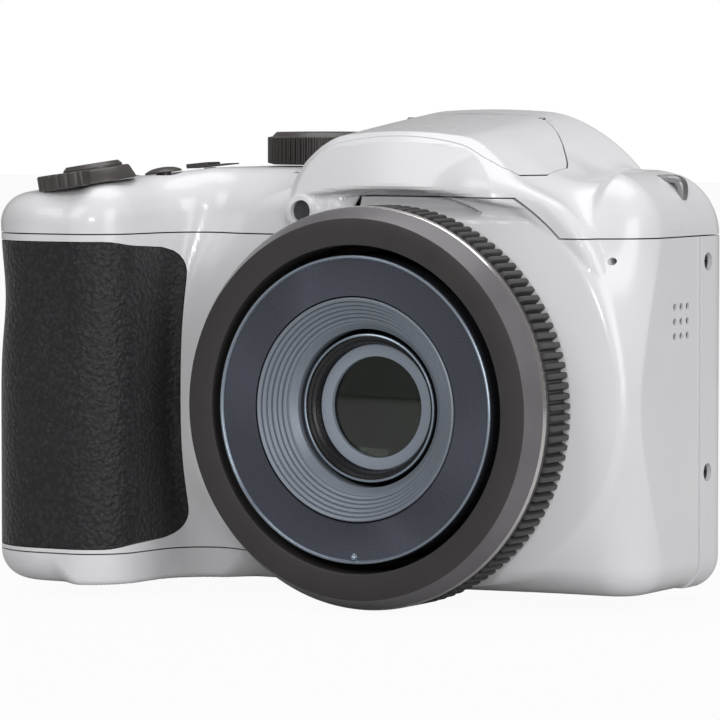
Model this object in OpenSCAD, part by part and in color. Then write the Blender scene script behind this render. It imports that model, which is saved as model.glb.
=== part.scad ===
// Bridge camera with a fixed telescoping zoom lens, a deep hand grip and a pop-up flash.
// Everything is measured from the lens axis: X to the plain side, Y to the rear, Z up,
// with Y = 0 at the front of the lens ring. at_lens() moves that datum into the part's own frame,
// whose origin is under the middle of the part, level with the lowest point of the lens ring.

/* [Body] */
// Overall width of the body
body_w = 114; // [112:1:120]
// Lens axis to the plain side of the body
side_x = 43; // [42:0.5:46]
// Front face of the body
front_y = 18.5; // [17.5:0.5:20]
// Rear face of the body
rear_y = 52.2; // [52:0.2:56]
// How far the grip reaches in front of the lens ring
grip_reach = 4.7; // [3:0.1:7]
// Underside of the body below the lens axis
base_drop = 30.7; // [30:0.1:32]
// Top deck above the lens axis
deck_z = 38.6; // [38:0.1:40]
// Top of the hump above the lens axis
hump_z = 48.4; // [48:0.1:50]
// Wall of the covers
wall = 2; // [1.6:0.1:2.4]
// Gap at the parting lines
seam = 0.15; // [0.1:0.05:0.3]
// Parting line between the top cover and the front cover
part_hi = 27.8; // [27:0.1:29]
// Parting line round the foot of the grip, below the lens axis
part_lo = 25.5; // [25:0.1:26.5]
// Parting plane between the front cover and the rear cover
split_y = 40; // [39:0.5:41]
// Rounding of the deck's edge
edge_r = 7; // [5:0.5:7.5]
// Rounding of the underside's edge
foot_r = 3.5; // [2:0.5:4]

/* [Plan outline] */
// Radius of the body's front corner on the plain side
corner_r = 7.5; // [7:0.1:9]
// Radius of the rear corner on the plain side
rear_r = 6; // [5:0.5:8]
// Radius of the rear corner on the grip side
rear_grip_r = 9; // [7:0.5:11]
// Radius of the grip's outer front corner
nose_outer_r = 13; // [12:0.5:15]
// Radius of the grip's inner front corner
nose_inner_r = 8; // [7.6:0.2:9]
// Width of the flat front of the grip
nose_flat = 6; // [4:0.5:8]
// Radius of the valley between the grip and the lens
valley_r = 8.5; // [7:0.5:10]

/* [Lens] */
// Radius of the lens ring
ring_r = 33; // [32:0.5:34]
// Width of the lens ring's front face
ring_face_w = 6.3; // [6:0.1:6.7]
// Depth of the plain front part of the lens ring
ring_front_d = 6.5; // [5:0.5:7]
// Back of the knurled part of the lens ring
ring_back_y = 13; // [12:0.5:14]
// Number of ribs round the knurled ring
knurl_n = 108; // [80:1:130]
// Height of the ribs
knurl_h = 0.9; // [0.6:0.1:1.2]
// Gap between the lens ring and the outer barrel
ring_gap = 1.6; // [1.3:0.1:1.9]
// Width of the outer barrel's front face
barrel_face_w = 6.8; // [6.5:0.1:7.3]
// Wall of the barrels
barrel_wall = 1.3; // [1.1:0.1:1.5]
// Clearance between sliding barrels
barrel_gap = 0.3; // [0.2:0.05:0.4]
// Width of the stepped front of the inner barrel
baffle_w = 5.3; // [4.8:0.1:5.5]
// Depth of the stepped front of the inner barrel
baffle_d = 4.4; // [3.6:0.2:5]
// Number of steps in the front of the inner barrel
baffle_n = 6; // [4:1:8]
// Gap between the stepped front and the front lens cell
cell_gap = 0.8; // [0.6:0.1:1.2]
// Width of the front lens cell round its element
cell_w = 3.9; // [3.4:0.1:4.4]
// Radius of the raised collar round the lens
collar_r = 41; // [40:0.5:42]

/* [Controls] */
// Radius of the mode dial
dial_r = 9.5; // [8.5:0.5:10]
// Height of the mode dial
dial_h = 4.9; // [4:0.1:6]
// Ribs round the mode dial
dial_n = 60; // [40:1:72]
// Radius of the zoom lever's ring
lever_r = 7; // [6.6:0.2:7.6]
// Height of the zoom lever's ring
lever_h = 2.6; // [2.2:0.1:3]
// Radius of the shutter button
shutter_r = 5; // [4.6:0.1:5.2]
// Width of the display window
window_w = 68; // [64:1:70]
// Height of the display window
window_h = 50; // [46:1:51]
// Radius of the rear push buttons
button_r = 3; // [2.6:0.1:3.2]
// Running clearance of stems and pins in their holes
run_gap = 0.06; // [0.04:0.01:0.09]
// Clearance round the moving lids and buttons
lid_gap = 0.35; // [0.3:0.05:0.45]

/* [Inside] */
// Radius of the tripod thread
tripod_r = 3.175; // [3.1:0.005:3.3]
// Thickness of the battery pack
battery_t = 9; // [7:0.5:9]
// Depth of the battery pack
battery_d = 36; // [30:1:36]
// Height of the battery pack
battery_h = 42; // [36:1:44]
// Thickness of the circuit boards
board_t = 1.2; // [1:0.1:1.6]

/* [Hidden] */
$fn = 64;
eps = 0.01;
big = 200;
side_l = side_x - body_w;
lcd_proud = 0.8;
lens_x = body_w / 2 - side_x;
lens_y = -(rear_y + lcd_proud - grip_reach) / 2;
lens_z = ring_r;
base_z = -base_drop;
foot_z = -part_lo;
foot_split_x = side_l + 38;
ring_bore_r = ring_r - ring_face_w;
barrel1_r = ring_bore_r - ring_gap;
barrel2_r = barrel1_r - barrel_face_w;
baffle_r = barrel2_r - baffle_w;
cell_r = baffle_r - cell_gap;
glass_r = cell_r - cell_w;

// Centres of the arcs in the plan outline
nose_outer = [side_l + nose_outer_r, nose_outer_r - grip_reach];
nose_inner = [nose_outer.x + nose_flat, nose_inner_r - grip_reach];
flank_tilt = 6;
valley_y = front_y - valley_r;
flank_run = (valley_y + valley_r * sin(flank_tilt) - nose_inner.y + nose_inner_r * sin(flank_tilt))
    / cos(flank_tilt);
valley_x = nose_inner.x + (nose_inner_r + valley_r) * cos(flank_tilt) + flank_run * sin(flank_tilt);
corner = [side_x - corner_r, front_y + corner_r];

// Lens depths
ring_step = 2.4;
ring_seat_y = ring_back_y + 0.2;
barrel1_back = 37;
barrel1_guide = 12;
barrel2_back = 33;
tube_front = ring_back_y + 1;
tube_back = 41;
tube_r = barrel1_r + barrel_gap + 2.4;
flange_t = 2.5;
cell_front = 5;
glass_y = 8;
cell_back = 14;

// Top controls, on the sloping deck
lever_at = [side_l + 18, 6];
drive_at = [side_l + 23.5, 19];
power_at = [side_l + 28.5, 27];
dial_at = [-28.8, 40.9];

// Hump over the lens: crowned sections at its logo plate and at the rear
hump_front_y = 14.5;
hump_rear_y = rear_y - 2.2;
hump_front_z = hump_z - 3.6;
hump_front_w = 19.2;
hump_rear_w = 27.5;
hump_under = ring_r + 1.3;
hump_front_lean = 0.35;
hump_rear_lean = 0.65;
hump_front_round = 6;
hump_rear_round = 9;
plate_y = 11.5;
plate_lean = 18;
plate_rim = 1.3;
brow_r = collar_r + 4;
brow_y = 13.4;
brow_lean = 7;
brow_taper = 3.5;
brow_bevel = 2.5;
brow_from = 6;

// Flash lid: pivot of its rolled rear edge
flash_roll_r = 1.2;
flash_pin_r = 0.6;
lid_foot_z = deck_z - 0.6;
lid_front_y = 15.2;
lid_rear_y = 42.6;
// Half-plan of the lid's rear edge: X, and distance in front of the rear edge
lid_plan = [[40, 12], [23, 11.4], [17.3, 4.1], [13, 0]];
flash_pivot = [lid_rear_y, hump_front_z + (hump_z - hump_front_z) * (lid_rear_y - hump_front_y)
    / (hump_rear_y - hump_front_y) - flash_roll_r];

// Rear controls
pad_at = [side_l + 21, -4];
window_at = [side_x - 38.5, -1];
button_pitch = 11.5;
button_rows = [for (z = [19, -20.5], s = [1, -1]) [pad_at.x + s * button_pitch, z]];

module at_lens() { translate([lens_x, lens_y, lens_z]) children(); }
// Turns a shape so that its Z axis points to the rear, as the lens axis does
module to_rear() { rotate([-90, 0, 0]) children(); }
// Revolves a profile of [radius, depth] points about the lens axis
module turned(profile, fn = 96) { to_rear() rotate_extrude($fn = fn) polygon(profile); }
module block(lo, hi) { translate(lo) cube(hi - lo); }

function clamp(v, lo, hi) = min(max(v, lo), hi);
function arc(c, r, a0, a1, n) =
    [for (i = [0:n]) let (a = a0 + (a1 - a0) * i / n) [c.x + r * cos(a), c.y + r * sin(a)]];

// Front half of the plan outline, from the grip side to the plain side, moved in by e
function front_chain(e) = concat(
    arc(nose_outer, nose_outer_r - e, 180, 270, 6),
    arc(nose_inner, nose_inner_r - e, 270, 360 - flank_tilt, 6),
    arc([valley_x, valley_y], valley_r + e, 180 - flank_tilt, 90, 5),
    arc(corner, max(corner_r - e, 0.1), 270, 360, 6)
);
// Rear half of the plan outline as a depth over x, moved in by e
function rear_at(x, e) =
    let (
        right = x > side_x - rear_r,
        left = x < side_l + rear_grip_r,
        r = right ? rear_r : rear_grip_r,
        cx = right ? side_x - rear_r : side_l + rear_grip_r
    )
    right || left ? rear_y - r + sqrt(max(0, (r - e) * (r - e) - (x - cx) * (x - cx))) : rear_y - e;
function outline(e) =
    let (f = front_chain(e), n = len(f))
    concat(f, [for (i = [n - 1:-1:0]) [f[i].x, rear_at(f[i].x, e)]]);

// Height of the top deck, which falls towards the front of the grip
function deck(x, y) =
    deck_z - 0.1 * max(0, side_l + 31 - x)
    - 1.5 * clamp((25 - y) / 20, 0, 1.5) * clamp((side_l + 36 - x) / 18, 0, 1);

// Closed solid through a stack of rings with equal point counts; the caps are strips across the rings
module ring_loft(rings) {
    n = len(rings[0]);
    m = len(rings);
    h = n / 2;
    cap = [for (i = [0:h - 2]) each [[i, i + 1, n - 2 - i], [i, n - 2 - i, n - 1 - i]]];
    sides = [for (k = [0:m - 2], i = [0:n - 1])
        let (a = k * n + i, b = k * n + (i + 1) % n) each [[a, b + n, b], [a, a + n, b + n]]];
    top = [for (t = cap) [t[2] + (m - 1) * n, t[1] + (m - 1) * n, t[0] + (m - 1) * n]];
    polyhedron([for (r = rings) each r], concat(cap, sides, top));
}
function ring_at(e, z) = [for (p = outline(e)) [p.x, p.y, z]];

// The body up to a height, with its rounded underside
module lower_solid(top) {
    ring_loft(concat(
        [for (a = [0:30:90]) ring_at(foot_r * (1 - sin(a)), base_z + foot_r * (1 - cos(a)))],
        [ring_at(0, top)]
    ));
}
// The body above the top parting line, with its rounded deck edge
module deck_solid() {
    ring_loft([for (a = [0:22.5:90])
        let (e = edge_r * (1 - cos(a)))
        [for (p = outline(e)) [p.x, p.y, part_hi + (deck(p.x, p.y) - part_hi) * sin(a)]]]);
}
// Upright wall of the covers between two insets and two heights
module band(e0, e1, z0, z1) {
    translate([0, 0, z0]) linear_extrude(z1 - z0) difference() {
        polygon(outline(e0));
        polygon(outline(e1));
    }
}
// Walls below the top parting line, without the grip's own foot
module body_walls() {
    difference() {
        lower_solid(part_hi - seam);
        block([-big, -big, -big], [foot_split_x + seam, big, foot_z + seam]);
        translate([0, 0, base_z + wall]) linear_extrude(big) polygon(outline(wall));
        translate([0, 0, base_z - wall]) linear_extrude(3 * wall) polygon(outline(foot_r + wall));
    }
}

// Right half of the hump's cross-section: w half-width level with the deck, top its height,
// lean of the flanks, r rounding of the shoulder
function hump_half(w, top, lean, r) =
    let (
        low = part_hi - 6,
        crown = [0.55 * w, top - 0.5],
        edge = [w - (top - 1.2 - deck_z) * lean, top - 1.2],
        foot = [w + (deck_z - low) * lean, low],
        p0 = edge + r * (crown - edge) / norm(crown - edge),
        p2 = edge + r * (foot - edge) / norm(foot - edge)
    )
    concat([foot], [for (i = [4:-1:0]) bend(p0, edge, p2, i / 4)], [crown, [0, top]]);
// Point at t along the curve from p0 to p2 that the corner pulls at
function bend(p0, corner, p2, t) = (1 - t) * (1 - t) * p0 + 2 * t * (1 - t) * corner + t * t * p2;
module hump_section(w, top, lean, r, e) {
    half = hump_half(w, top, lean, r);
    n = len(half);
    offset(delta = -e) polygon(concat(half, [for (i = [n - 2:-1:0]) [-half[i].x, half[i].y]]));
}
module hump_slab(y, w, top, lean, r, e) {
    translate([0, y + eps, 0]) rotate([90, 0, 0]) linear_extrude(eps) hump_section(w, top, lean, r, e);
}
// Hump with its logo plate, which leans back; with e its hollow, moved in by e but open in front
module hump_solid(e = 0) {
    hull() {
        hump_slab(hump_front_y - e, hump_front_w, hump_front_z, hump_front_lean, hump_front_round, e);
        hump_slab(hump_rear_y - e, hump_rear_w, hump_z, hump_rear_lean, hump_rear_round, e);
        if (e == 0) logo_plate();
    }
}
module logo_plate() {
    intersection() {
        translate([0, plate_y, hump_under]) rotate([-plate_lean, 0, 0]) translate([0, 0, -hump_under])
            hump_slab(0, hump_front_w - 2, hump_front_z - 0.4, hump_front_lean, hump_front_round, plate_rim);
        block([-big, 0, hump_under], [big, big, big]);
    }
}
// Radius of the brow at angle a: drawn in beside the lens, where it runs out into the plain side
function brow_edge(r, a) = r - brow_taper * clamp((40 - a) / 25, 0, 1);
// Arched brow that carries the hump down the plain side of the lens
module brow() {
    span = deck_z - 1.2 - hump_under;
    intersection() {
        hull() for (k = [[brow_r, brow_y + brow_bevel], [brow_r - brow_bevel, brow_y]])
            translate([0, k.y, 0]) to_rear() linear_extrude(front_y + 12 - k.y)
                polygon([for (a = [-60:10:90]) brow_edge(k.x, a) * [cos(a), -sin(a)]]);
        translate([0, brow_y, hump_under]) rotate([brow_lean, 0, 0])
            block([brow_from, 0, -big], [big, big, span]);
    }
}

// Space of the flash lid, grown by g: a side view for its front and foot, and a plan for its rear edge
module lid_zone(g) {
    intersection() {
        translate([-big / 2, 0, 0]) rotate([90, 0, 90]) linear_extrude(big) polygon([
            [lid_front_y + 0.8 - g, hump_z + 3], [lid_front_y + 0.4 - g, hump_front_z],
            [lid_front_y - g, lid_foot_z + 3], [lid_front_y + 0.6 - g, lid_foot_z + 1.2],
            [lid_front_y + 2 - g, lid_foot_z - g],
            [big / 2, lid_foot_z - g], [big / 2, hump_z + 3]
        ]);
        translate([0, 0, lid_foot_z - 5]) linear_extrude(big) offset(delta = g) polygon(concat(
            [[-lid_plan[0].x, 0], [lid_plan[0].x, 0]],
            [for (k = lid_plan) [k.x, lid_rear_y - k.y]],
            [for (i = [len(lid_plan) - 1:-1:0]) [-lid_plan[i].x, lid_rear_y - lid_plan[i].y]]
        ));
    }
    translate([-roll_w / 2 - g, flash_pivot.x, flash_pivot.y]) rotate([0, 90, 0])
        cylinder(h = roll_w + 2 * g, r = flash_roll_r + g, $fn = 32);
}
roll_w = 27.2;
// Stands a shape on the sloping deck at a point, lifted by up
module on_deck(p, up = 0) {
    d = 1;
    slope_x = atan((deck(p.x + d, p.y) - deck(p.x - d, p.y)) / (2 * d));
    slope_y = atan((deck(p.x, p.y + d) - deck(p.x, p.y - d)) / (2 * d));
    translate([p.x, p.y, deck(p.x, p.y)]) rotate([slope_y, -slope_x, 0]) translate([0, 0, up]) children();
}

// Covers

module front_cover() {
    color("whitesmoke") at_lens() difference() {
        union() {
            difference() {
                union() {
                    intersection() {
                        body_walls();
                        block([-big, -big, -big], [big, split_y - seam, big]);
                    }
                    collar();
                    intersection() {
                        brow();
                        block([0, 0, base_z + foot_r], [side_x - 0.6, front_y + wall / 2, part_hi - seam]);
                    }
                }
                grip_pocket();
            }
            lamp_boss();
        }
        turned([[0, 0], [tube_r + 0.3, 0], [tube_r + 0.3, split_y], [0, split_y]]);
        lamp_bore();
        mic_hole();
        speaker_holes();
        port_cut(lid_gap);
    }
}
// Raised collar round the lens, drawn in towards the base and cut flat under the hump
collar_low = 6;
module collar() {
    intersection() {
        turned([
            [tube_r, ring_seat_y], [ring_r - ring_step, ring_seat_y], [collar_r - 1.5, ring_back_y + 1.6],
            [collar_r - 0.4, ring_back_y + 2.2],
            [collar_r, ring_back_y + 3.4], [collar_r + 0.6, front_y + wall / 2], [tube_r, front_y + wall / 2]
        ], 120);
        block([nose_inner.x + nose_inner_r - 1, 0, base_z + 1.2], [side_x - 0.6, big, hump_under - 0.5]);
        union() {
            block([-big, 0, 0], [big, big, big]);
            translate([0, 0, collar_low]) to_rear()
                cylinder(h = big, r = norm([collar_r + 0.6, collar_low]), $fn = 120);
        }
    }
}
lamp_at = [-17, ring_r - 1.3];
module lamp_boss() { translate([lamp_at.x, ring_back_y, lamp_at.y]) to_rear() cylinder(h = 4, r = 2.3); }
module lamp_bore() {
    translate([lamp_at.x, ring_back_y - 1, lamp_at.y]) to_rear() cylinder(h = 12, r = 1.85);
}
mic_at = [side_x - 5, part_hi - 3.6];
module mic_hole() { translate([mic_at.x, front_y - 2, mic_at.y]) to_rear() cylinder(h = 8, r = 0.62); }
speaker_at = [33, 14];
module speaker_holes() {
    for (i = [-1:1], k = [-1:1])
        translate([side_x - wall - 1, speaker_at.x + i * 2.4, speaker_at.y + k * 2.4])
            rotate([0, 90, 0]) cylinder(h = wall + 2, r = 0.52, $fn = 24);
}

rubber_t = 1;
rubber_x = side_l + 30.7;
rubber_corner = 6;
rubber_hi = part_hi - 1.4;
rubber_lo = foot_z + 0.9;
rubber_back = 26;
// Front view of the rubber grip, grown by g
module rubber_outline(g) {
    hull() {
        for (z = [rubber_lo - g + rubber_corner, rubber_hi + g - rubber_corner])
            translate([rubber_x + g - rubber_corner, -z]) circle(r = rubber_corner, $fn = 32);
        translate([side_l - 5, -rubber_hi - g]) square([5, rubber_hi - rubber_lo + 2 * g]);
    }
}
module grip_zone(g) {
    translate([0, -grip_reach - 2, 0]) to_rear()
        linear_extrude(rubber_back + g + grip_reach + 2) rubber_outline(g);
}
module grip_pocket() {
    intersection() {
        band(-1, rubber_t + 0.05, rubber_lo - 1, rubber_hi + 1);
        grip_zone(0.1);
    }
}
module grip_rubber() {
    color("dimgray") at_lens() intersection() {
        band(0, rubber_t, rubber_lo, rubber_hi);
        grip_zone(0);
    }
}

module top_cover() {
    color("whitesmoke") at_lens() difference() {
        union() {
            difference() {
                deck_solid();
                translate([0, 0, part_hi - 1]) linear_extrude(deck_z - wall - 4.4 - part_hi)
                    polygon(outline(wall));
                block([-bay_w, lid_front_y, bay_z], [bay_w, lid_rear_y, big]);
            }
            difference() {
                union() {
                    hump_solid();
                    brow();
                }
                lid_zone(lid_gap);
                hump_cavity();
                block([-big, -big, -big], [big, big, part_hi - 0.5]);
            }
        }
        translate([0, 0, part_hi - 1]) linear_extrude(1 + seam) square(2 * big, center = true);
        collar_notch();
        stem_bores();
        dial_room();
        lug_pockets();
    }
    color("whitesmoke") at_lens() hinge_knuckles();
}
bay_w = 24.2;
bay_z = lid_foot_z - lid_gap - 0.12;
// Hollow of the hump: under the floor of the flash bay, and open to the top behind it
module hump_cavity() {
    intersection() {
        hump_solid(wall);
        union() {
            block([-big, cavity_y, 0], [big, rear_y - wall - 3, lid_foot_z - wall]);
            block([-big, flash_pivot.x + 3.4, 0], [big, rear_y - wall - 3, big]);
        }
    }
}
cavity_y = front_y + 10;
// Room for the collar under the hump
module collar_notch() {
    intersection() {
        translate([0, -5, 0]) to_rear()
            cylinder(h = front_y + wall / 2 + 5 + seam, r = collar_r + 0.6 + seam, $fn = 120);
        block([-big, -big, 0], [big, big, hump_under - 0.3]);
    }
}
module stem_bores() {
    for (p = [lever_at, drive_at, dial_at]) on_deck(p, -8) cylinder(h = 12, r = stem_r(p) + run_gap);
    on_deck(power_at, -8) block([-3, -0.9, 0], [3, 0.9, 12]);
}
module dial_room() {
    translate([dial_at.x, dial_at.y, deck(dial_at.x, dial_at.y)]) cylinder(h = big, r = dial_r + lid_gap);
}
function stem_r(p) = p == lever_at ? 3 : p == drive_at ? 1.4 : 2.5;
knuckle_x = 9;
knuckle_w = 4;
module hinge_knuckles() {
    for (x = [-knuckle_x, knuckle_x]) difference() {
        union() {
            translate([x - knuckle_w / 2, flash_pivot.x, flash_pivot.y]) rotate([0, 90, 0])
                cylinder(h = knuckle_w, r = flash_roll_r - 0.05, $fn = 32);
            block([x - knuckle_w / 2, flash_pivot.x, flash_pivot.y - 0.8],
                [x + knuckle_w / 2, flash_pivot.x + 2.4, flash_pivot.y + 0.4]);
        }
        translate([x - knuckle_w, flash_pivot.x, flash_pivot.y]) rotate([0, 90, 0])
            cylinder(h = 2 * knuckle_w, r = flash_pin_r + run_gap, $fn = 32);
    }
}

module rear_cover() {
    color("whitesmoke") at_lens() difference() {
        intersection() {
            body_walls();
            block([-big, split_y + seam, -big], [big, big, big]);
        }
        window_cut(0.1, rear_y - 1.4, rear_y + 1);
        window_cut(-3, rear_y - wall - 1, rear_y);
        rear_bore(pad_at, pad_r + lid_gap);
        for (p = button_rows) rear_bore(p, button_r + lid_gap);
        screw_bores();
    }
}
pad_r = 10;
module window_cut(g, y0, y1) {
    block([window_at.x - window_w / 2 - g, y0, window_at.y - window_h / 2 - g],
        [window_at.x + window_w / 2 + g, y1, window_at.y + window_h / 2 + g]);
}
module rear_bore(p, r) { translate([p.x, rear_y - wall - 1, p.y]) to_rear() cylinder(h = wall + 2, r = r); }
screw_rows = [23.5, -11.4];
screw_y = split_y + 2.4;
module screw_bores() {
    for (z = screw_rows) translate([side_x - wall - 1, screw_y, z]) rotate([0, 90, 0]) {
        cylinder(h = wall + 3, r = 0.85, $fn = 32);
        translate([0, 0, 2]) cylinder(h = wall + 3, r = 1.6, $fn = 32);
    }
}
module side_screws() {
    color("dimgray") at_lens() for (z = screw_rows)
        translate([side_x - wall - 1, screw_y, z]) rotate([0, 90, 0]) difference() {
            union() {
                cylinder(h = 2.1, r = 0.8, $fn = 32);
                translate([0, 0, 2.05]) cylinder(h = 0.6, r = 1.5, $fn = 32);
            }
            for (a = [0, 90]) translate([0, 0, 2.5]) rotate([0, 0, a]) cube([1.8, 0.4, 0.6], center = true);
        }
}

// Base: a flat plate between the covers and a moulded foot under the grip
door_lo = [side_l + 5, 4];
door_w = 22;
door_hi = [door_lo.x + door_w, 46];
module bottom_cover() {
    color("whitesmoke") at_lens() difference() {
        union() {
            difference() {
                intersection() {
                    lower_solid(part_hi);
                    block([-big, -big, -big], [foot_split_x - seam, big, foot_z - seam]);
                }
                translate([0, 0, base_z + wall]) linear_extrude(big) polygon(outline(wall));
            }
            intersection() {
                translate([0, 0, base_z]) linear_extrude(wall) polygon(outline(foot_r + wall + 0.2));
                block([foot_split_x - 1, front_y + foot_r, -big], [big, rear_y - foot_r - wall - 0.2, big]);
            }
        }
        translate([door_lo.x - lid_gap, door_lo.y - lid_gap, base_z - 1])
            cube([door_hi.x - door_lo.x + 2 * lid_gap, door_hi.y - door_lo.y + 2 * lid_gap, wall + 2]);
        translate([tripod_at.x, tripod_at.y, base_z - 1]) cylinder(h = 4, r = tripod_flange_r + 0.1);
        for (p = base_screw_at) translate([p.x, p.y, base_z - 1]) {
            cylinder(h = 5, r = 0.85, $fn = 32);
            cylinder(h = 1.9, r = 1.7, $fn = 32);
        }
        door_pin_bore();
    }
}
tripod_at = [25, 33];
tripod_flange_r = 6;
base_screw_at = [[-24, 39.5], [35, 39.5], [35, 26], [-24, 26]];
module base_screws() {
    color("dimgray") at_lens() for (p = base_screw_at) translate([p.x, p.y, base_z + 0.2]) difference() {
        union() {
            cylinder(h = 0.65, r = 1.5, $fn = 32);
            cylinder(h = 4, r = 0.8, $fn = 32);
        }
        for (a = [0, 90]) rotate([0, 0, a]) cube([1.8, 0.4, 0.6], center = true);
    }
}
module tripod_socket() {
    color("silver") at_lens() translate([tripod_at.x, tripod_at.y, base_z]) difference() {
        union() {
            cylinder(h = wall, r = tripod_flange_r);
            cylinder(h = 6.5, r = tripod_r + 1.6);
        }
        translate([0, 0, -1]) cylinder(h = 6.5, r = tripod_r);
    }
}

// Battery door under the grip, hinged at the outer side
door_pivot = [door_lo.x + 1.1, base_z + 1.1];
door_pin_r = 0.6;
module door_pin_bore() {
    translate([door_pivot.x, door_lo.y - 3, door_pivot.y]) to_rear()
        cylinder(h = door_hi.y - door_lo.y + 6, r = door_pin_r + 0.02, $fn = 32);
}
module battery_door() {
    color("whitesmoke") at_lens() difference() {
        union() {
            block([door_pivot.x, door_lo.y, base_z], [door_hi.x, door_hi.y, base_z + 1.6]);
            translate([door_pivot.x, door_lo.y, door_pivot.y]) to_rear()
                cylinder(h = door_hi.y - door_lo.y, r = 1.1, $fn = 32);
        }
        translate([door_pivot.x, door_lo.y - 1, door_pivot.y]) to_rear()
            cylinder(h = door_hi.y - door_lo.y + 2, r = door_pin_r + run_gap, $fn = 32);
        block([latch_x - 3.3, latch_y - 7.3, base_z - 1], [latch_x + 3.3, latch_y + 7.3, base_z + 0.9]);
        block([latch_x - 1.6, latch_y - 3.6, base_z], [latch_x + 4.2, latch_y + 3.6, base_z + 3]);
    }
}
latch_x = door_hi.x - 6;
latch_y = (door_lo.y + door_hi.y) / 2;
module door_hinge_pin() {
    color("silver") at_lens() translate([door_pivot.x, door_lo.y - 2.6, door_pivot.y]) to_rear()
        cylinder(h = door_hi.y - door_lo.y + 5.2, r = door_pin_r, $fn = 32);
}
// Sliding latch in the door: a ribbed thumb pad outside and a tongue inside
module door_latch() {
    color("gainsboro") at_lens() difference() {
        union() {
            block([latch_x - 3, latch_y - 7, base_z + 0.05], [latch_x, latch_y + 7, base_z + 0.6]);
            block([latch_x - 1.3, latch_y - 3.3, base_z + 0.3], [latch_x + 1, latch_y + 3.3, base_z + 2.9]);
            block([latch_x - 1.3, latch_y - 3.3, base_z + wall + 0.2],
                [latch_x + 5.9, latch_y + 3.3, base_z + wall + 0.9]);
        }
        for (i = [-2:2]) translate([latch_x - 1.5, latch_y + i * 2.4, base_z])
            cube([2, 0.8, 0.5], center = true);
    }
}

// Lens

module lens_front_ring() {
    color("#3a3838") at_lens() turned([
        [ring_bore_r, 0], [ring_r - 2.4, 0.15], [ring_r - 1.2, 0.7], [ring_r - 0.5, 1.9], [ring_r - 0.3, 3.6],
        [ring_r, 4.2], [ring_r, ring_front_d],
        [ring_r - ring_step, ring_front_d], [ring_r - ring_step, ring_seat_y],
        [tube_r + 0.1, ring_seat_y], [tube_r + 0.1, ring_back_y - 3], [ring_bore_r, ring_back_y - 3]
    ], 120);
}
function knurl_points() =
    [for (i = [0:knurl_n - 1], k = [[0, 0], [0.18, 1], [0.66, 1], [0.84, 0]])
        let (a = 360 * (i + k[0]) / knurl_n, r = ring_r - knurl_h * (1 - k[1])) [r * cos(a), r * sin(a)]];
module knurled_ring() {
    color("#262626") at_lens() translate([0, ring_front_d, 0]) to_rear()
        linear_extrude(ring_back_y - ring_front_d) difference() {
            polygon(knurl_points());
            circle(r = ring_r - ring_step + 0.03, $fn = 120);
        }
}
module fixed_barrel() {
    bore = barrel1_r + barrel_gap;
    color("#2b2b2b") at_lens() difference() {
        turned([
            [bore, tube_front - 3], [tube_r, tube_front - 3], [tube_r, tube_back - flange_t],
            [tube_r + 3, tube_back - flange_t], [tube_r + 3, tube_back], [7, tube_back],
            [7, tube_back - 2], [bore, tube_back - 2]
        ]);
        for (a = rod_angles) translate(rod_at(a, tube_back - 3)) to_rear()
            cylinder(h = 4, r = rod_r, $fn = 32);
        block([-big, 0, tube_r + 0.6], [big, big, big]);
        block([-big, 0, -big], [big, big, -tube_r + 0.2]);
    }
    color("#2b2b2b") at_lens() translate([motor_at.x, tube_back - flange_t, motor_at.y]) to_rear()
        cylinder(h = flange_t, r = motor_r + 1);
}
rod_r = 1;
rod_front = 10.5;
rod_ring = barrel2_r - barrel_wall - 2.4;
group_r = rod_ring - 4.1;
rod_angles = [0, 180];
function rod_at(a, y) = [rod_ring * cos(a), y, rod_ring * sin(a)];
module guide_rods() {
    color("silver") at_lens() for (a = rod_angles)
        translate(rod_at(a, rod_front)) to_rear() cylinder(h = tube_back - rod_front, r = rod_r, $fn = 32);
}
module outer_barrel() {
    color("#30343c") at_lens() turned([
        [barrel2_r + barrel_gap, 0.2], [barrel1_r - 0.5, 0], [barrel1_r, -0.3], [barrel1_r, barrel1_back],
        [barrel1_r - barrel_wall, barrel1_back], [barrel1_r - barrel_wall, 1.9],
        [barrel2_r + barrel_gap + barrel_wall, 1.9], [barrel2_r + barrel_gap + barrel_wall, barrel1_guide],
        [barrel2_r + barrel_gap, barrel1_guide]
    ]);
}
// Stepped, light-trapping front of the inner barrel
function baffle_steps() =
    let (run = (barrel2_r - 0.4 - baffle_r) / baffle_n, drop = baffle_d / baffle_n)
    [for (i = [0:baffle_n - 1]) each [
        [baffle_r + i * run, baffle_d - i * drop],
        [baffle_r + (i + 1) * run, baffle_d - i * drop - 0.25 * drop]
    ]];
module inner_barrel() {
    color("#6f7680") at_lens() turned(concat(
        baffle_steps(),
        [[barrel2_r, 0], [barrel2_r, barrel2_back], [barrel2_r - barrel_wall, barrel2_back],
        [barrel2_r - barrel_wall, baffle_d + 2], [baffle_r + 1, baffle_d + 3.2],
        [cell_r + 0.05, baffle_d + 3.2],
        [cell_r + 0.05, baffle_d + 1.4], [baffle_r, baffle_d + 1.4]]
    ));
}
module front_cell() {
    color("#1c1c1e") at_lens() turned([
        [cell_r - 0.5, cell_front], [cell_r, cell_front + 0.3], [cell_r, cell_back],
        [glass_r + 0.5, cell_back],
        [glass_r + 0.5, glass_y + 4.6], [glass_r + 1.3, glass_y + 4.6], [glass_r + 1.3, glass_y + 1.2],
        [glass_r + 2.2, glass_y + 1.2]
    ]);
}
module element_retainer() {
    color("#8a8d90") at_lens() turned([
        [glass_r, glass_y], [glass_r + 2, glass_y - 0.35], [glass_r + 2, glass_y + 1.1],
        [glass_r, glass_y + 1.1]
    ]);
}
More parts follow.
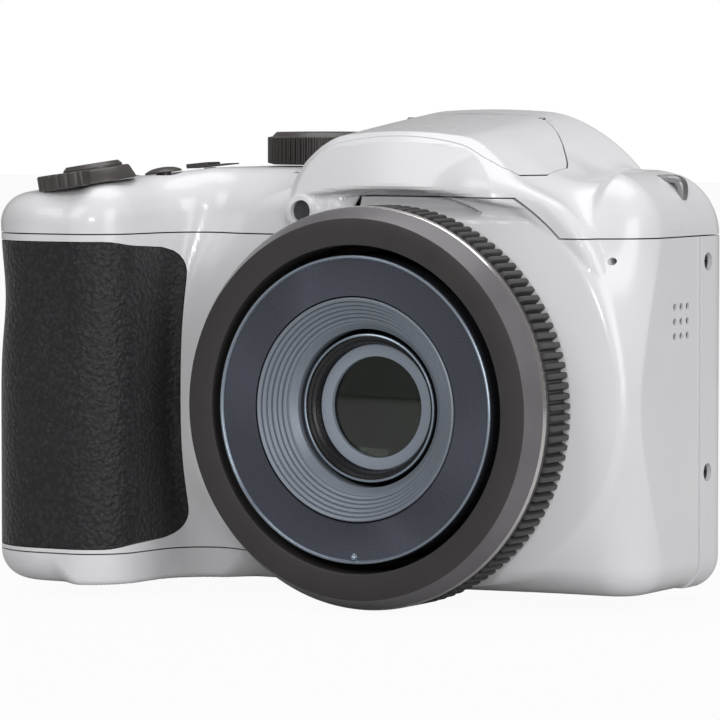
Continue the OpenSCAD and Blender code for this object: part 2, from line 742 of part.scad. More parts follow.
// Biconvex front element
module front_element() {
    bulge_r = 26;
    rim = glass_r + 1.2;
    sag = bulge_r - sqrt(bulge_r * bulge_r - rim * rim);
    color("#334455") at_lens() intersection() {
        translate([0, glass_y + 1.7 - sag + bulge_r, 0]) sphere(r = bulge_r);
        translate([0, glass_y - 2, 0]) to_rear() cylinder(h = 6.6, r = rim);
    }
}
// Second lens group, which runs on two rods inside the barrels
module zoom_group() {
    ear = [rod_ring + rod_r + 0.9, 3];
    color("#202020") at_lens() difference() {
        union() {
            translate([0, 22, 0]) to_rear() cylinder(h = 7, r = group_r);
            block([-ear.x, 22, -ear.y], [ear.x, 26, ear.y]);
        }
        translate([0, 21, 0]) to_rear() cylinder(h = 3, r = group_r - 2.5);
        for (a = rod_angles) translate(rod_at(a, 21)) to_rear()
            cylinder(h = 6, r = rod_r + run_gap, $fn = 32);
    }
}
module image_sensor() {
    color("darkgreen") at_lens() union() {
        block([-13, tube_back, -11], [13, tube_back + board_t, 11]);
        block([-5, tube_back - 1.2, -4], [5, tube_back + eps, 4]);
    }
}
motor_r = 4;
motor_d = 15;
motor_turn = 40;
motor_at = (tube_r + motor_r + 0.1) * [cos(motor_turn), sin(motor_turn)];
module zoom_motor() {
    color("silver") at_lens() translate([motor_at.x, tube_back - flange_t - motor_d, motor_at.y]) to_rear() {
        cylinder(h = motor_d, r = motor_r);
        translate([0, 0, -1.5]) cylinder(h = 2, r = 1, $fn = 32);
    }
}

// Front and side details

module af_lamp() {
    color("#555a60") at_lens() translate([lamp_at.x, ring_back_y + 0.35, lamp_at.y]) to_rear()
        cylinder(h = 6, r = 1.8);
}
module microphone() {
    color("#222222") at_lens() translate([mic_at.x - 0.6, front_y + corner_r - sqrt(corner_r * corner_r
        - pow(mic_at.x - corner.x, 2)) + wall + 1.4, mic_at.y]) to_rear() cylinder(h = 2, r = 2);
}
module speaker() {
    color("#333333") at_lens() translate([side_x - wall - 3, speaker_at.x, speaker_at.y])
        rotate([0, 90, 0]) cylinder(h = 3, r = 5.5);
}

// Top controls

module zoom_lever() {
    tab_a = 232;
    color("#2c2c2c") at_lens() on_deck(lever_at, lid_gap) difference() {
        union() {
            rotate_extrude($fn = 64) polygon([
                [shutter_r + 0.3, 0], [lever_r, 0], [lever_r, 0.5], [lever_r - 0.9, lever_h],
                [shutter_r + 0.3, lever_h]
            ]);
            rotate([0, 0, tab_a]) intersection() {
                translate([lever_r - 1, -4.4, 0]) cube([3.2, 8.8, lever_h + 0.3]);
                cylinder(h = big, r = lever_r + 2);
            }
            translate([0, 0, -5]) difference() {
                cylinder(h = 5.6, r = stem_r(lever_at));
                translate([0, 0, -1]) cylinder(h = 9, r = 1.5 + run_gap);
            }
            difference() {
                cylinder(h = 0.6, r = shutter_r + 0.5);
                translate([0, 0, -1]) cylinder(h = 3, r = 1.5 + run_gap);
            }
        }
        for (i = [-2:2]) rotate([0, 0, tab_a + i * 12]) translate([lever_r + 2, 0, -1])
            cylinder(h = lever_h + 3, r = 0.55, $fn = 24);
    }
}
module shutter_button() {
    color("#3a3a3a") at_lens() on_deck(lever_at, lid_gap) {
        translate([0, 0, 1.8]) rotate_extrude($fn = 64) polygon([
            [0, 0], [shutter_r, 0], [shutter_r, lever_h - 1.8], [shutter_r - 0.6, lever_h - 1.2],
            [2, lever_h - 1.35],
            [0, lever_h - 1.4]
        ]);
        translate([0, 0, -5]) cylinder(h = 7, r = 1.5);
    }
}
// Low domed button
module drive_button() {
    cap_r = 3.2;
    color("#2c2c2c") at_lens() on_deck(drive_at, lid_gap) {
        intersection() {
            cylinder(h = 1.6, r = cap_r);
            translate([0, 0, 1.5 - 5]) sphere(r = 5);
        }
        translate([0, 0, -4]) cylinder(h = 4.2, r = stem_r(drive_at));
    }
}
// Sliding switch: a low plate with a raised thumb piece at its outer end
module power_switch() {
    color("#2c2c2c") at_lens() on_deck(power_at, lid_gap) {
        block([-4, -2.2, 0], [4, 2.2, 0.4]);
        block([-4, -2.2, 0.3], [0.3, 2.2, 1.1]);
        block([-1.4, -0.8, -3.5], [0.2, 0.8, 0.2]);
    }
}
function dial_points() =
    [for (i = [0:dial_n - 1], k = [[0, 0], [0.2, 1], [0.6, 1], [0.8, 0]])
        let (a = 360 * (i + k[0]) / dial_n, r = dial_r - 0.35 * (1 - k[1])) [r * cos(a), r * sin(a)]];
module mode_dial() {
    rim = 0.7;
    color("#2c2c2c") at_lens() translate([dial_at.x, dial_at.y, deck(dial_at.x, dial_at.y) + lid_gap]) {
        linear_extrude(dial_h - rim) polygon(dial_points());
        translate([0, 0, dial_h - rim - eps]) cylinder(h = rim, r1 = dial_r - 0.3, r2 = dial_r - 0.3 - rim);
        translate([0, 0, -6]) cylinder(h = 6.1, r = stem_r(dial_at));
    }
}

// Pop-up flash

lid_t = 1.6;
module flash_lid() {
    color("whitesmoke") at_lens() difference() {
        union() {
            difference() {
                intersection() {
                    hump_solid();
                    lid_zone(0);
                }
                intersection() {
                    hump_solid(lid_t);
                    block([-big, 0, 0], [big, flash_pivot.x - 1.9, big]);
                }
            }
            intersection() {
                hump_solid();
                lid_zone(0);
                on_flash_front() block([-flash_w / 2 - lid_t, flash_lo - lid_t, 0.2],
                    [flash_w / 2 + lid_t, flash_hi + lid_t, flash_deep + 3]);
            }
            translate([-roll_w / 2, flash_pivot.x, flash_pivot.y]) rotate([0, 90, 0])
                cylinder(h = roll_w, r = flash_roll_r - 0.05, $fn = 32);
        }
        for (x = [-knuckle_x, knuckle_x])
            block([x - knuckle_w / 2 - lid_gap, flash_pivot.x - flash_roll_r - 0.5, flash_pivot.y - 3],
                [x + knuckle_w / 2 + lid_gap, big, hump_z + 3]);
        translate([-big / 2, flash_pivot.x, flash_pivot.y]) rotate([0, 90, 0])
            cylinder(h = big, r = flash_pin_r + 0.02, $fn = 32);
        flash_pocket(0.05);
    }
}
module flash_hinge_pin() {
    color("silver") at_lens() translate([-13, flash_pivot.x, flash_pivot.y]) rotate([0, 90, 0])
        cylinder(h = 26, r = flash_pin_r, $fn = 32);
}
window_top = [lid_front_y + 2, hump_front_z - 2.2];
window_tilt = 38;
// Stands a shape on the sloping front of the flash, with its Z axis out of the window
module on_flash_front() {
    translate([0, window_top.x, window_top.y]) rotate([-window_tilt, 0, 0]) children();
}
flash_w = 24;
flash_lo = 1.4;
flash_hi = 7.2;
flash_mid = (flash_lo + flash_hi) / 2;
flash_glass_t = 0.95;
flash_deep = 2.7;
tube_w = flash_w - 2;
flash_tube_r = 0.7;
flash_tube_z = 1.7;
// Pocket of the lid that holds the window and the reflector, grown by g
module flash_pocket(g) {
    on_flash_front() block([-flash_w / 2 - g, flash_lo - g, -5],
        [flash_w / 2 + g, flash_hi + g, flash_deep]);
}
module flash_window() {
    color("lightcyan") at_lens() on_flash_front()
        block([-flash_w / 2, flash_lo, -0.1], [flash_w / 2, flash_hi, flash_glass_t]);
}
module flash_reflector() {
    color("silver") at_lens() on_flash_front() difference() {
        block([-flash_w / 2, flash_lo, flash_glass_t], [flash_w / 2, flash_hi, flash_deep]);
        translate([-tube_w / 2, flash_mid, flash_tube_z]) rotate([0, 90, 0])
            cylinder(h = tube_w, r = flash_tube_r + 0.2, $fn = 32);
        block([-tube_w / 2, flash_lo + 1, 0], [tube_w / 2, flash_hi - 1, flash_tube_z]);
    }
}
// The tube rests on both ends of the reflector
module flash_tube() {
    color("white") at_lens() on_flash_front() translate([-tube_w / 2, flash_mid, flash_tube_z])
        rotate([0, 90, 0]) cylinder(h = tube_w, r = flash_tube_r, $fn = 32);
}

// Strap lugs: a flat bar bridging each shoulder, with one leg down
module lug() {
    translate([0, lug_y, 0]) rotate([90, 0, 0]) linear_extrude(lug_t, center = true) union() {
        translate([-8.4, lug_top - 1.5]) square([7.4, 1.5]);
        translate([-2.2, lug_top - 6.4]) square([1.5, 6.4]);
    }
}
lug_y = 38;
lug_t = 3;
lug_top = deck_z - 0.3;
module strap_lugs() {
    color("silver") at_lens() {
        translate([side_x, 0, 0]) lug();
        translate([side_l, 0, -2.6]) mirror([1, 0, 0]) lug();
    }
}
module lug_pockets() {
    for (s = [0, 1]) translate([s == 0 ? side_x : side_l, lug_y, s == 0 ? 0 : -2.6]) mirror([s, 0, 0])
        rotate([90, 0, 0]) linear_extrude(lug_t + 0.1, center = true) union() {
            translate([-8.45, lug_top - 1.55]) square([7.4, 1.6]);
            translate([-2.25, lug_top - 6.45]) square([1.6, 6.45]);
        }
}

// Rear controls and display

module lcd_window() { color("#101214") at_lens() window_cut(0, rear_y - 1.4, rear_y + lcd_proud); }
module lcd_panel() {
    color("#30343a") at_lens() window_cut(-3.2, board_back, rear_y - 1.4);
}
module rear_stem(p, r0, y0) {
    translate([p.x, y0, p.y]) to_rear() cylinder(h = rear_y - wall - y0 + 0.4, r = r0);
}
module four_way_pad() {
    color("#d8d8d8") at_lens() difference() {
        translate([pad_at.x, rear_y - wall, pad_at.y]) to_rear() rotate_extrude() polygon([
            [0, 0], [pad_r, 0], [pad_r, wall + 0.1], [pad_r - 0.6, wall + 0.5], [0, wall + 0.3]
        ]);
        translate([pad_at.x, rear_y - wall - 1, pad_at.y]) to_rear() cylinder(h = 5, r = 4 + lid_gap);
    }
    color("#d8d8d8") at_lens() for (a = [45:90:315])
        rear_stem(pad_at + 7 * [cos(a), sin(a)], 1, board_back + press);
}
board_back = rear_y - wall - 2.3;
press = 0.7;
module rear_button(p, r) {
    translate([p.x, rear_y - wall, p.y]) to_rear() rotate_extrude() polygon([
        [0, 0], [r, 0], [r, wall + 0.1], [r - 0.4, wall + 0.4], [0, wall + 0.4]
    ]);
    rear_stem(p, 1, board_back + press);
}
module ok_button() { color("#d8d8d8") at_lens() rear_button(pad_at, 4); }
module record_button() { color("firebrick") at_lens() rear_button(button_rows[0], button_r); }
module flash_release() { color("#d8d8d8") at_lens() rear_button(button_rows[1], button_r); }
module menu_button() { color("#d8d8d8") at_lens() rear_button(button_rows[2], button_r); }
module delete_button() { color("#d8d8d8") at_lens() rear_button(button_rows[3], button_r); }

// Rubber cover over the sockets on the grip side, hinged along its lower edge
port_lo = [28.5, -14];
port_hi = [37.5, 2];
module port_cut(g) {
    block([side_l - 1, port_lo.x - g, port_lo.y - g], [side_l + wall + 1, port_hi.x + g, port_hi.y + g]);
}
module port_cover() {
    color("dimgray") at_lens()
        block([side_l + 0.2, port_lo.x, port_lo.y], [side_l + wall, port_hi.x, port_hi.y]);
}

// Inside

chassis_y = tube_back + board_t;
chassis_t = 1.2;
chassis_l = side_l + 31;
chassis_r = side_x - 5;
board_l = side_l + 5;
box_wall = 1.2;
slot_gap = 0.15;
pack_at = [door_lo.x + 6, 6, base_z + wall + 1.2];
pack_size = [battery_t, battery_d, battery_h];
card_at = [pack_at.x + battery_t + 2, 12, base_z + wall + 1.2];
card_size = [2.1, 24, 32];
post_rows = [[-34, 20], [34, 20], [-34, -22], [34, -22]];
// Pressed plate behind the lens, with posts for the main board and a box for the battery and the card
module chassis() {
    color("lightsteelblue") at_lens() difference() {
        union() {
            block([chassis_l, chassis_y, base_z + wall], [chassis_r, chassis_y + chassis_t, part_hi - 4]);
            for (p = post_rows) translate([p.x, chassis_y, p.y]) to_rear()
                cylinder(h = board_back - board_t - chassis_y, r = 1.8, $fn = 32);
            slot_box(pack_at, pack_size);
            slot_box(card_at, card_size);
            block([pack_at.x, chassis_y, pack_at.z + 4],
                [chassis_l + 1, chassis_y + chassis_t, pack_at.z + battery_h]);
        }
        slot_hole(pack_at, pack_size);
        slot_hole(card_at, card_size);
        block([-10, 0, -8], [10, big, 8]);
    }
}
// Box round an upright slot, open at the bottom and closed on top
module slot_box(p, size) {
    translate(p - [box_wall, box_wall, -0.9]) cube(size + [2 * box_wall, 2 * box_wall, box_wall - 0.9]);
}
module slot_hole(p, size) {
    translate(p - [slot_gap, slot_gap, 5]) cube(size + [2 * slot_gap, 2 * slot_gap, 5]);
}
module main_board() {
    color("seagreen") at_lens() block([board_l, board_back - board_t, -25], [chassis_r, board_back, 24]);
}
module battery_pack() { color("slategray") at_lens() translate(pack_at) cube(pack_size); }
module memory_card() { color("navy") at_lens() translate(card_at) cube(card_size); }
capacitor_r = 4;
module flash_capacitor() {
    color("black") at_lens() translate([chassis_l + 4.5, chassis_y - capacitor_r, 5])
        cylinder(h = 20, r = capacitor_r);
}

front_cover();
top_cover();
rear_cover();
bottom_cover();
grip_rubber();
lens_front_ring();
knurled_ring();
fixed_barrel();
outer_barrel();
inner_barrel();
front_cell();
element_retainer();
front_element();
zoom_group();
guide_rods();
image_sensor();
zoom_motor();
af_lamp();
microphone();
speaker();
zoom_lever();
shutter_button();
drive_button();
power_switch();
mode_dial();
flash_lid();
flash_window();
flash_reflector();
flash_tube();
flash_hinge_pin();
strap_lugs();
side_screws();
base_screws();
tripod_socket();
battery_door();
door_hinge_pin();
door_latch();
lcd_window();
lcd_panel();
four_way_pad();
ok_button();
record_button();
flash_release();
menu_button();
delete_button();
port_cover();
chassis();
main_board();
battery_pack();
memory_card();
flash_capacitor();
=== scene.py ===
"""Looks of a bridge camera: moulded covers, rubber grip, lens, controls, light and camera."""

import math

import bpy
import numpy as np
import openvdb
from mathutils import Matrix, Vector


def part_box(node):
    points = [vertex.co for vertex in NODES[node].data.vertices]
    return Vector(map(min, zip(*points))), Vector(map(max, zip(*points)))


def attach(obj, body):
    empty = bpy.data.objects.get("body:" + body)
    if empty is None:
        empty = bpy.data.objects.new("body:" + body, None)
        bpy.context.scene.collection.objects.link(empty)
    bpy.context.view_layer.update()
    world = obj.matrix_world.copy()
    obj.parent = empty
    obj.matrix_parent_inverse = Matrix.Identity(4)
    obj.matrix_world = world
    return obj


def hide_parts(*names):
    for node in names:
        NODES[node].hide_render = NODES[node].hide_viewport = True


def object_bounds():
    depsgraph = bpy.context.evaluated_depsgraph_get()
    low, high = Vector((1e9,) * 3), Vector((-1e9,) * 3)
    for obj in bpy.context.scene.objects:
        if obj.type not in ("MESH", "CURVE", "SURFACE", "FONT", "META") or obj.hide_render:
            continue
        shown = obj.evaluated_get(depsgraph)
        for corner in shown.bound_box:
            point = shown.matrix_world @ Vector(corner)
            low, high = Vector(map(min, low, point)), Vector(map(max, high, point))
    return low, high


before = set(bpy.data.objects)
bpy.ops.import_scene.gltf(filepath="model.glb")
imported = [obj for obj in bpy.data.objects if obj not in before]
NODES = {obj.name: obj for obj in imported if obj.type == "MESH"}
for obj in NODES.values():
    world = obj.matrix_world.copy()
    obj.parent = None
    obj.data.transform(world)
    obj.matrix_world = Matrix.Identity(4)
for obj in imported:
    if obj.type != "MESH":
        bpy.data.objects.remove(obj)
CAD_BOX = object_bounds()

# Lens frame: millimetres from the lens axis at the front of the lens ring, X to the plain side,
# Y to the rear, Z up. Everything modelled here is written in it.
MM = 0.001
RING_LO, RING_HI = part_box("lens_front_ring")
LENS = Vector(((RING_LO.x + RING_HI.x) / 2, RING_LO.y, (RING_LO.z + RING_HI.z) / 2))


def in_lens(point):
    return (Vector(point) - LENS) / MM


def lens_box(node):
    """A node's lowest and highest corners in the lens frame."""
    return [in_lens(corner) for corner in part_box(node)]


BODY_LO = in_lens(CAD_BOX[0])
BODY_HI = in_lens(CAD_BOX[1])

# Body sizes
SIDE_L = BODY_LO.x
SIDE_R = BODY_HI.x
NOSE_Y = BODY_LO.y
REAR_Y = lens_box("rear_cover")[1].y
BASE_Z = lens_box("bottom_cover")[0].z
HUMP_Z = BODY_HI.z
RING_R = (RING_HI.x - RING_LO.x) / 2 / MM
FRONT_Y = 18.5  # front wall beside the lens
DECK_Z = 38.6  # top deck
WALL = 2.0  # thickness of the covers
SEAM = 0.22  # gap between two covers
GAP = 0.3  # gap round a button or a door

# Where the covers part
PART_HI = 27.8  # foot of the top cover
FOOT_Z = -25.5  # top of the bottom cover, under the grip
SPLIT_Y = 40.0  # between the front and the rear cover
FOOT_SPLIT_X = -22.0  # right of here the bottom cover is a plate let into the base

# Forms of the body
COLLAR_R = 41.0  # outer radius of the dish round the lens
FLANK_X = -43.4  # flank of the grip that faces the lens
FASCIA_FOOT = 34.3  # foot of the hump's front plate
DISH_END = -8.0  # left end of the piece of dish that reaches up under the hump
HUMP_Y0 = 14.5
HUMP_Y1 = 50.0
HUMP_FRONT_Z = 44.8
LID_HALF = 23.6  # half the width of the flash lid
RUBBER_X = -40.3  # edge of the rubber that faces the lens
RUBBER_LO = FOOT_Z + 0.9
RUBBER_HI = PART_HI - 1.4
RUBBER_BACK = 26.0

# Places: X and Z of the lamp, X and Y of the controls, Y and Z of the flash hinge
LAMP = (-17.0, 31.7)
DIAL = (-28.8, 40.9)
LEVER = (-53.0, 6.0)
DRIVE = (-47.5, 19.0)
POWER = (-42.5, 27.0)
PIVOT = (42.6, 46.45)

FAR = 300.0  # well outside the body
GRID = 0.5  # spacing of the grid that a skin is meshed on

# Pattern sizes in millimetres
CLOUD = 8.333  # slow change of tone in a moulding
SPARKLE = 1 / 6  # change of gloss on turned metal
PEBBLE = 0.7407  # leather grain of the grip
CREASE = 0.7692  # folds between the pebbles
PEBBLE_WARP = 1.4286  # wandering of the pebbles
RUBBER_GRAIN = 0.2
HAZE = 2.5  # faint change of gloss on glass


# Colours and nodes


def linear(hex_code):
    """sRGB hex to linear RGBA."""
    values = [int(hex_code[i : i + 2], 16) / 255 for i in (1, 3, 5)]
    return [v / 12.92 if v <= 0.04045 else ((v + 0.055) / 1.055) ** 2.4 for v in values] + [1.0]


def add(tree, kind, settings=None, links=None):
    """Adds a node, sets its properties or input values, and links its inputs from other nodes' outputs."""
    node = tree.nodes.new(kind)
    for key, value in (settings or {}).items():
        if hasattr(node, str(key)):
            setattr(node, key, value)
        else:
            node.inputs[key].default_value = value
    for key, (source, output) in (links or {}).items():
        tree.links.new(source.outputs[output], node.inputs[key])
    return node


def new_material(name, settings):
    """A material with one Principled shader; returns it with its tree and shader."""
    material = bpy.data.materials.new(name)
    material.use_nodes = True
    tree = material.node_tree
    shader = tree.nodes["Principled BSDF"]
    for key, value in settings.items():
        shader.inputs[key].default_value = value
    return material, tree, shader


def lens_coordinates(tree):
    """Object coordinates as millimetres in the lens frame."""
    place = add(tree, "ShaderNodeTexCoord")
    shift = {"Scale": [1 / MM] * 3, "Location": -LENS / MM}
    return add(tree, "ShaderNodeMapping", shift, {"Vector": (place, "Object")})


def shaded(tree, shader, source, output, dark, light, lo=0.3, hi=0.7):
    """Colours the shader between two tones by a pattern."""
    ramp = add(tree, "ShaderNodeValToRGB", {}, {"Fac": (source, output)})
    for element, place, tone in zip(ramp.color_ramp.elements, (lo, hi), (dark, light)):
        element.position = place
        element.color = linear(tone)
    tree.links.new(ramp.outputs["Color"], shader.inputs["Base Color"])


def roughened(tree, shader, source, output, low, high):
    """Varies the roughness by a pattern."""
    spread = {"From Min": 0.3, "From Max": 0.7, "To Min": low, "To Max": high}
    span = add(tree, "ShaderNodeMapRange", spread, {"Value": (source, output)})
    tree.links.new(span.outputs["Result"], shader.inputs["Roughness"])


def embossed(tree, shader, source, output, depth, under=None):
    """Raises the surface by a pattern, to a depth in millimetres."""
    links = {"Height": (source, output)}
    if under:
        links["Normal"] = (under, "Normal")
    bump = add(tree, "ShaderNodeBump", {"Strength": 1.0, "Distance": depth * MM}, links)
    tree.links.new(bump.outputs["Normal"], shader.inputs["Normal"])
    return bump


def moulded(name, dark, light, rough, grain, depth, **settings):
    """A moulded or cast finish: two close tones, a roughness between two values and a fine grain.

    The size and depth of the grain are in mm. A grain that would be too fine to show is drawn coarser.
    """
    material, tree, shader = new_material(name, settings)
    place = lens_coordinates(tree)
    cloud = add(tree, "ShaderNodeTexNoise", {"Scale": 1 / CLOUD, "Detail": 3.0}, {"Vector": (place, 0)})
    fine = add(tree, "ShaderNodeTexNoise", {"Scale": 1 / grain, "Detail": 2.0}, {"Vector": (place, 0)})
    shaded(tree, shader, cloud, "Fac", dark, light)
    roughened(tree, shader, fine, "Fac", *rough)
    embossed(tree, shader, fine, "Fac", depth)
    return material


def turned_metal(name, dark, light, rough, pitch, depth, **settings):
    """A finish turned on a lathe: fine rings about the lens axis, at a pitch in mm.

    The pitch is drawn coarser than a lathe leaves it, so that it shows.
    """
    material, tree, shader = new_material(name, settings)
    place = lens_coordinates(tree)
    flat = add(tree, "ShaderNodeVectorMath", {"operation": "MULTIPLY", 1: (1, 0, 1)}, {0: (place, 0)})
    radius = add(tree, "ShaderNodeVectorMath", {"operation": "LENGTH"}, {0: (flat, 0)})
    rings = add(tree, "ShaderNodeTexNoise", {"noise_dimensions": "1D", "Scale": 1 / pitch, "Detail": 4.0},
                {"W": (radius, "Value")})
    sparkle = add(tree, "ShaderNodeTexNoise", {"Scale": 1 / SPARKLE, "Detail": 1.0}, {"Vector": (place, 0)})
    shaded(tree, shader, rings, "Fac", dark, light)
    roughened(tree, shader, sparkle, "Fac", *rough)
    embossed(tree, shader, rings, "Fac", depth)
    tangent = add(tree, "ShaderNodeTangent", {"direction_type": "RADIAL", "axis": "Y"})
    tree.links.new(tangent.outputs["Tangent"], shader.inputs["Tangent"])
    return material


def pebbled_rubber(name, dark, light):
    """Rubber moulded with a leather grain: small pebbles with soft creases between them, coloured darker in
    the creases as painted shade.
    """
    matt = {"Specular IOR Level": 0.35, "Sheen Weight": 0.2, "Sheen Roughness": 0.4}
    material, tree, shader = new_material(name, matt)
    place = lens_coordinates(tree)
    warp = add(tree, "ShaderNodeTexNoise", {"Scale": 1 / PEBBLE_WARP, "Detail": 2.0}, {"Vector": (place, 0)})
    bent = add(tree, "ShaderNodeVectorMath", {"operation": "MULTIPLY_ADD", 1: (0.9, 0.9, 0.9)},
               {0: (warp, "Color"), 2: (place, 0)})
    round_cells = {"feature": "SMOOTH_F1", "Scale": 1 / PEBBLE, "Smoothness": 0.6}
    cells = add(tree, "ShaderNodeTexVoronoi", round_cells, {"Vector": (bent, 0)})
    folds = add(tree, "ShaderNodeTexNoise", {"Scale": 1 / CREASE, "Detail": 2.0}, {"Vector": (bent, 0)})
    fine = add(tree, "ShaderNodeTexNoise", {"Scale": 1 / RUBBER_GRAIN, "Detail": 3.0}, {"Vector": (place, 0)})
    height = add(tree, "ShaderNodeMath", {"operation": "MULTIPLY_ADD", 1: -0.8},
                 {0: (cells, "Distance"), 2: (folds, "Fac")})
    # Colour follows the grain's height: the creases are painted darker, as shade
    shaded(tree, shader, height, "Value", dark, light, 0.0, 0.5)
    roughened(tree, shader, fine, "Fac", 0.42, 0.58)
    grain = add(tree, "ShaderNodeBump", {"Strength": 1.0, "Distance": 0.02 * MM}, {"Height": (fine, "Fac")})
    embossed(tree, shader, height, "Value", 0.22, grain)
    return material


def optical_glass(name, tint, level):
    """Clear glass or window plastic with a tint; a level of 0.5 reflects as a bare surface does."""
    clear = {"Base Color": linear(tint), "Transmission Weight": 1.0, "IOR": 1.6, "Specular IOR Level": level}
    material, tree, shader = new_material(name, clear)
    place = lens_coordinates(tree)
    haze = add(tree, "ShaderNodeTexNoise", {"Scale": 1 / HAZE, "Detail": 2.0}, {"Vector": (place, 0)})
    roughened(tree, shader, haze, "Fac", 0.0, 0.012)
    return material


# ABS moulded in a polished tool: pale and glossy, and so faintly wavy that highlights keep soft edges
WHITE = moulded("white_gloss_plastic", "#E6E6E9", "#E8E8EA", (0.17, 0.22), 1.5, 0.0012,
                **{"Specular IOR Level": 0.5})
# Soft rubber moulded with a leather grain: dark and dull, its pebbles break the light into small specks; the
# creases between them are painted darker as shade
RUBBER = pebbled_rubber("pebbled_grip_rubber", "#1E1C1F", "#302E31")
# Polycarbonate from an etched tool: a dark, even face with a satin glow in place of reflections
CHARCOAL = moulded("charcoal_satin_plastic", "#343131", "#3A3736", (0.42, 0.52), 0.25, 0.012)
# The same plastic, polished on the bevel and coloured paler as a painted highlight: a band that reads as a
# broad highlight
CHARCOAL_BEVEL_PAINTED_HIGHLIGHT = moulded("charcoal_bevel_painted_highlight", "#676468", "#706D70", (0.30, 0.36), 0.3, 0.004)
# Aluminium turned bright: a thin line that flashes where it meets a lamp
BRIGHT_LINE = turned_metal("polished_metal_line", "#D8D5D4", "#EDEAE8", (0.16, 0.24), 0.1, 0.002,
                           Metallic=1.0)
# Moulded rubber ribs: dull and dark grey, so that the ribs read by the shadows between them
KNURL = moulded("knurl_black_rubber", "#403E3E", "#4B4948", (0.48, 0.60), 0.3, 0.015)
# Black plastic with a flock-like surface: takes nearly all light, so that hollows look deep
BLACK = moulded("flocked_black_plastic", "#0B0B0C", "#121213", (0.55, 0.7), 0.3, 0.01)
# Dark anodised aluminium, spun: the fine rings draw highlights out into spokes across the face
BARREL = turned_metal("spun_barrel_metal", "#585B66", "#646773", (0.24, 0.30), 0.16, 0.003,
                      Metallic=0.85, Anisotropic=0.9)
# The same metal, turned bright on its edge: a pale, cool line. On the glass cell's front lip the same pale
# metal is a painted highlight round the black cell
PALE_TURNED_METAL_AND_PAINTED_HIGHLIGHT = turned_metal("pale_turned_metal_and_painted_highlight", "#8F9BA8", "#AEBAC6", (0.28, 0.36), 0.1, 0.002, Metallic=0.8)
# Aluminium turned and blasted: mid grey steps that shade softly, with a faint metal glint
STEPPED = turned_metal("turned_grey_metal", "#79808A", "#8F97A2", (0.42, 0.56), 0.12, 0.02, Metallic=0.35)
# Black anodised aluminium: deep black with a small, clear highlight
CELL = moulded("cell_black_anodised", "#141314", "#1E1D1F", (0.22, 0.30), 0.4, 0.004,
               **{"Specular IOR Level": 0.6})
# Grey paint on a turned ring: flat and even, a clear pale ring in the dark cell
RETAINER = turned_metal("retainer_grey_paint", "#8A939F", "#959EA9", (0.5, 0.6), 0.2, 0.004)
# Satin ABS, dark grey: soft highlights along ribs and edges
CONTROL = moulded("control_grey_plastic", "#444040", "#4F4B48", (0.30, 0.40), 0.3, 0.01)
# Cast zinc, tumbled: grey metal with soft, uneven highlights
LUG_METAL = moulded("cast_lug_metal", "#8B8A8C", "#A5A4A6", (0.30, 0.40), 0.5, 0.01, Metallic=0.7)
# Steel with a nickel plating: bright, with blurred reflections
STEEL = moulded("plated_steel", "#8C8D90", "#A3A4A7", (0.24, 0.36), 0.5, 0.006, Metallic=1.0)
# Steel blackened in oil: near black, with a dull glint
SCREW = moulded("blackened_screw_steel", "#1C1C1E", "#2A2A2C", (0.3, 0.4), 0.4, 0.006, Metallic=0.6)
# Satin ABS, pale grey: a shade darker and duller than the covers, so that the buttons stand out
BUTTON = moulded("button_grey_plastic", "#C4C5C8", "#CDCED1", (0.3, 0.38), 0.4, 0.006)
# ABS dyed red: one strong spot of colour with a satin highlight
RED = moulded("record_red_plastic", "#A01B20", "#B02429", (0.26, 0.34), 0.4, 0.006)
# Hard-coated acrylic over a dark display: almost black, with reflections like a mirror's
SCREEN = moulded("display_black_panel", "#0A0B0E", "#101216", (0.05, 0.08), 2.0, 0.001,
                 **{"Coat Weight": 0.5})
# Solder mask on a circuit board: dark green with the half gloss of lacquer
BOARD = moulded("solder_mask_green", "#0E4A2C", "#15583A", (0.4, 0.5), 0.6, 0.02)
# Pressed sheet steel: pale grey metal with blurred reflections
CHASSIS = moulded("pressed_chassis_steel", "#9A9B9E", "#AEAFB2", (0.34, 0.44), 0.8, 0.006, Metallic=0.9)
# Plastic wrap round a battery: mid grey with a satin gloss
PACK = moulded("battery_wrap_grey", "#55575C", "#62646A", (0.36, 0.44), 0.6, 0.008)
# Smoked polycarbonate: dark grey and glossy, a window that looks shut
SMOKED = moulded("lamp_smoked_plastic", "#38393D", "#45464A", (0.25, 0.32), 0.4, 0.004)
# Lens glass with an anti-reflection coating: it lets the dark inside show, with weak reflections
GLASS = optical_glass("coated_lens_glass", "#6A766A", 0.06)
# Polished glass, opaque and coloured nearly black as painted shade for the dark inside of the lens, with one
# small sharp highlight
GLASS_PAINTED_SHADE = moulded("second_element_painted_shade", "#050806", "#080C09", (0.04, 0.07), 2.0, 0.0005,
                     **{"Specular IOR Level": 0.5})
# Clear polycarbonate: see-through, with the plain reflections of a smooth moulding
CLEAR = optical_glass("clear_flash_window", "#F6F7F8", 0.5)


# Implicit solids: a function is negative inside, in millimetres


def round_max(a, b, r):
    """Intersection with its edge rounded to r."""
    corner = np.hypot(np.maximum(a + r, 0), np.maximum(b + r, 0))
    return np.minimum(np.maximum(a, b), -r) + corner


def round_min(a, b, r):
    """Union with its inner corner filled to about r."""
    reach = 1.2 * r
    fill = 0.3 * r
    near = np.maximum(1 - np.abs(a - b) / reach, 0)
    return np.minimum(a, b) - fill * near * near


def smooth(t):
    """Rises from 0 to 1 with level ends as t does."""
    t = np.clip(t, 0, 1)
    return t * t * (3 - 2 * t)


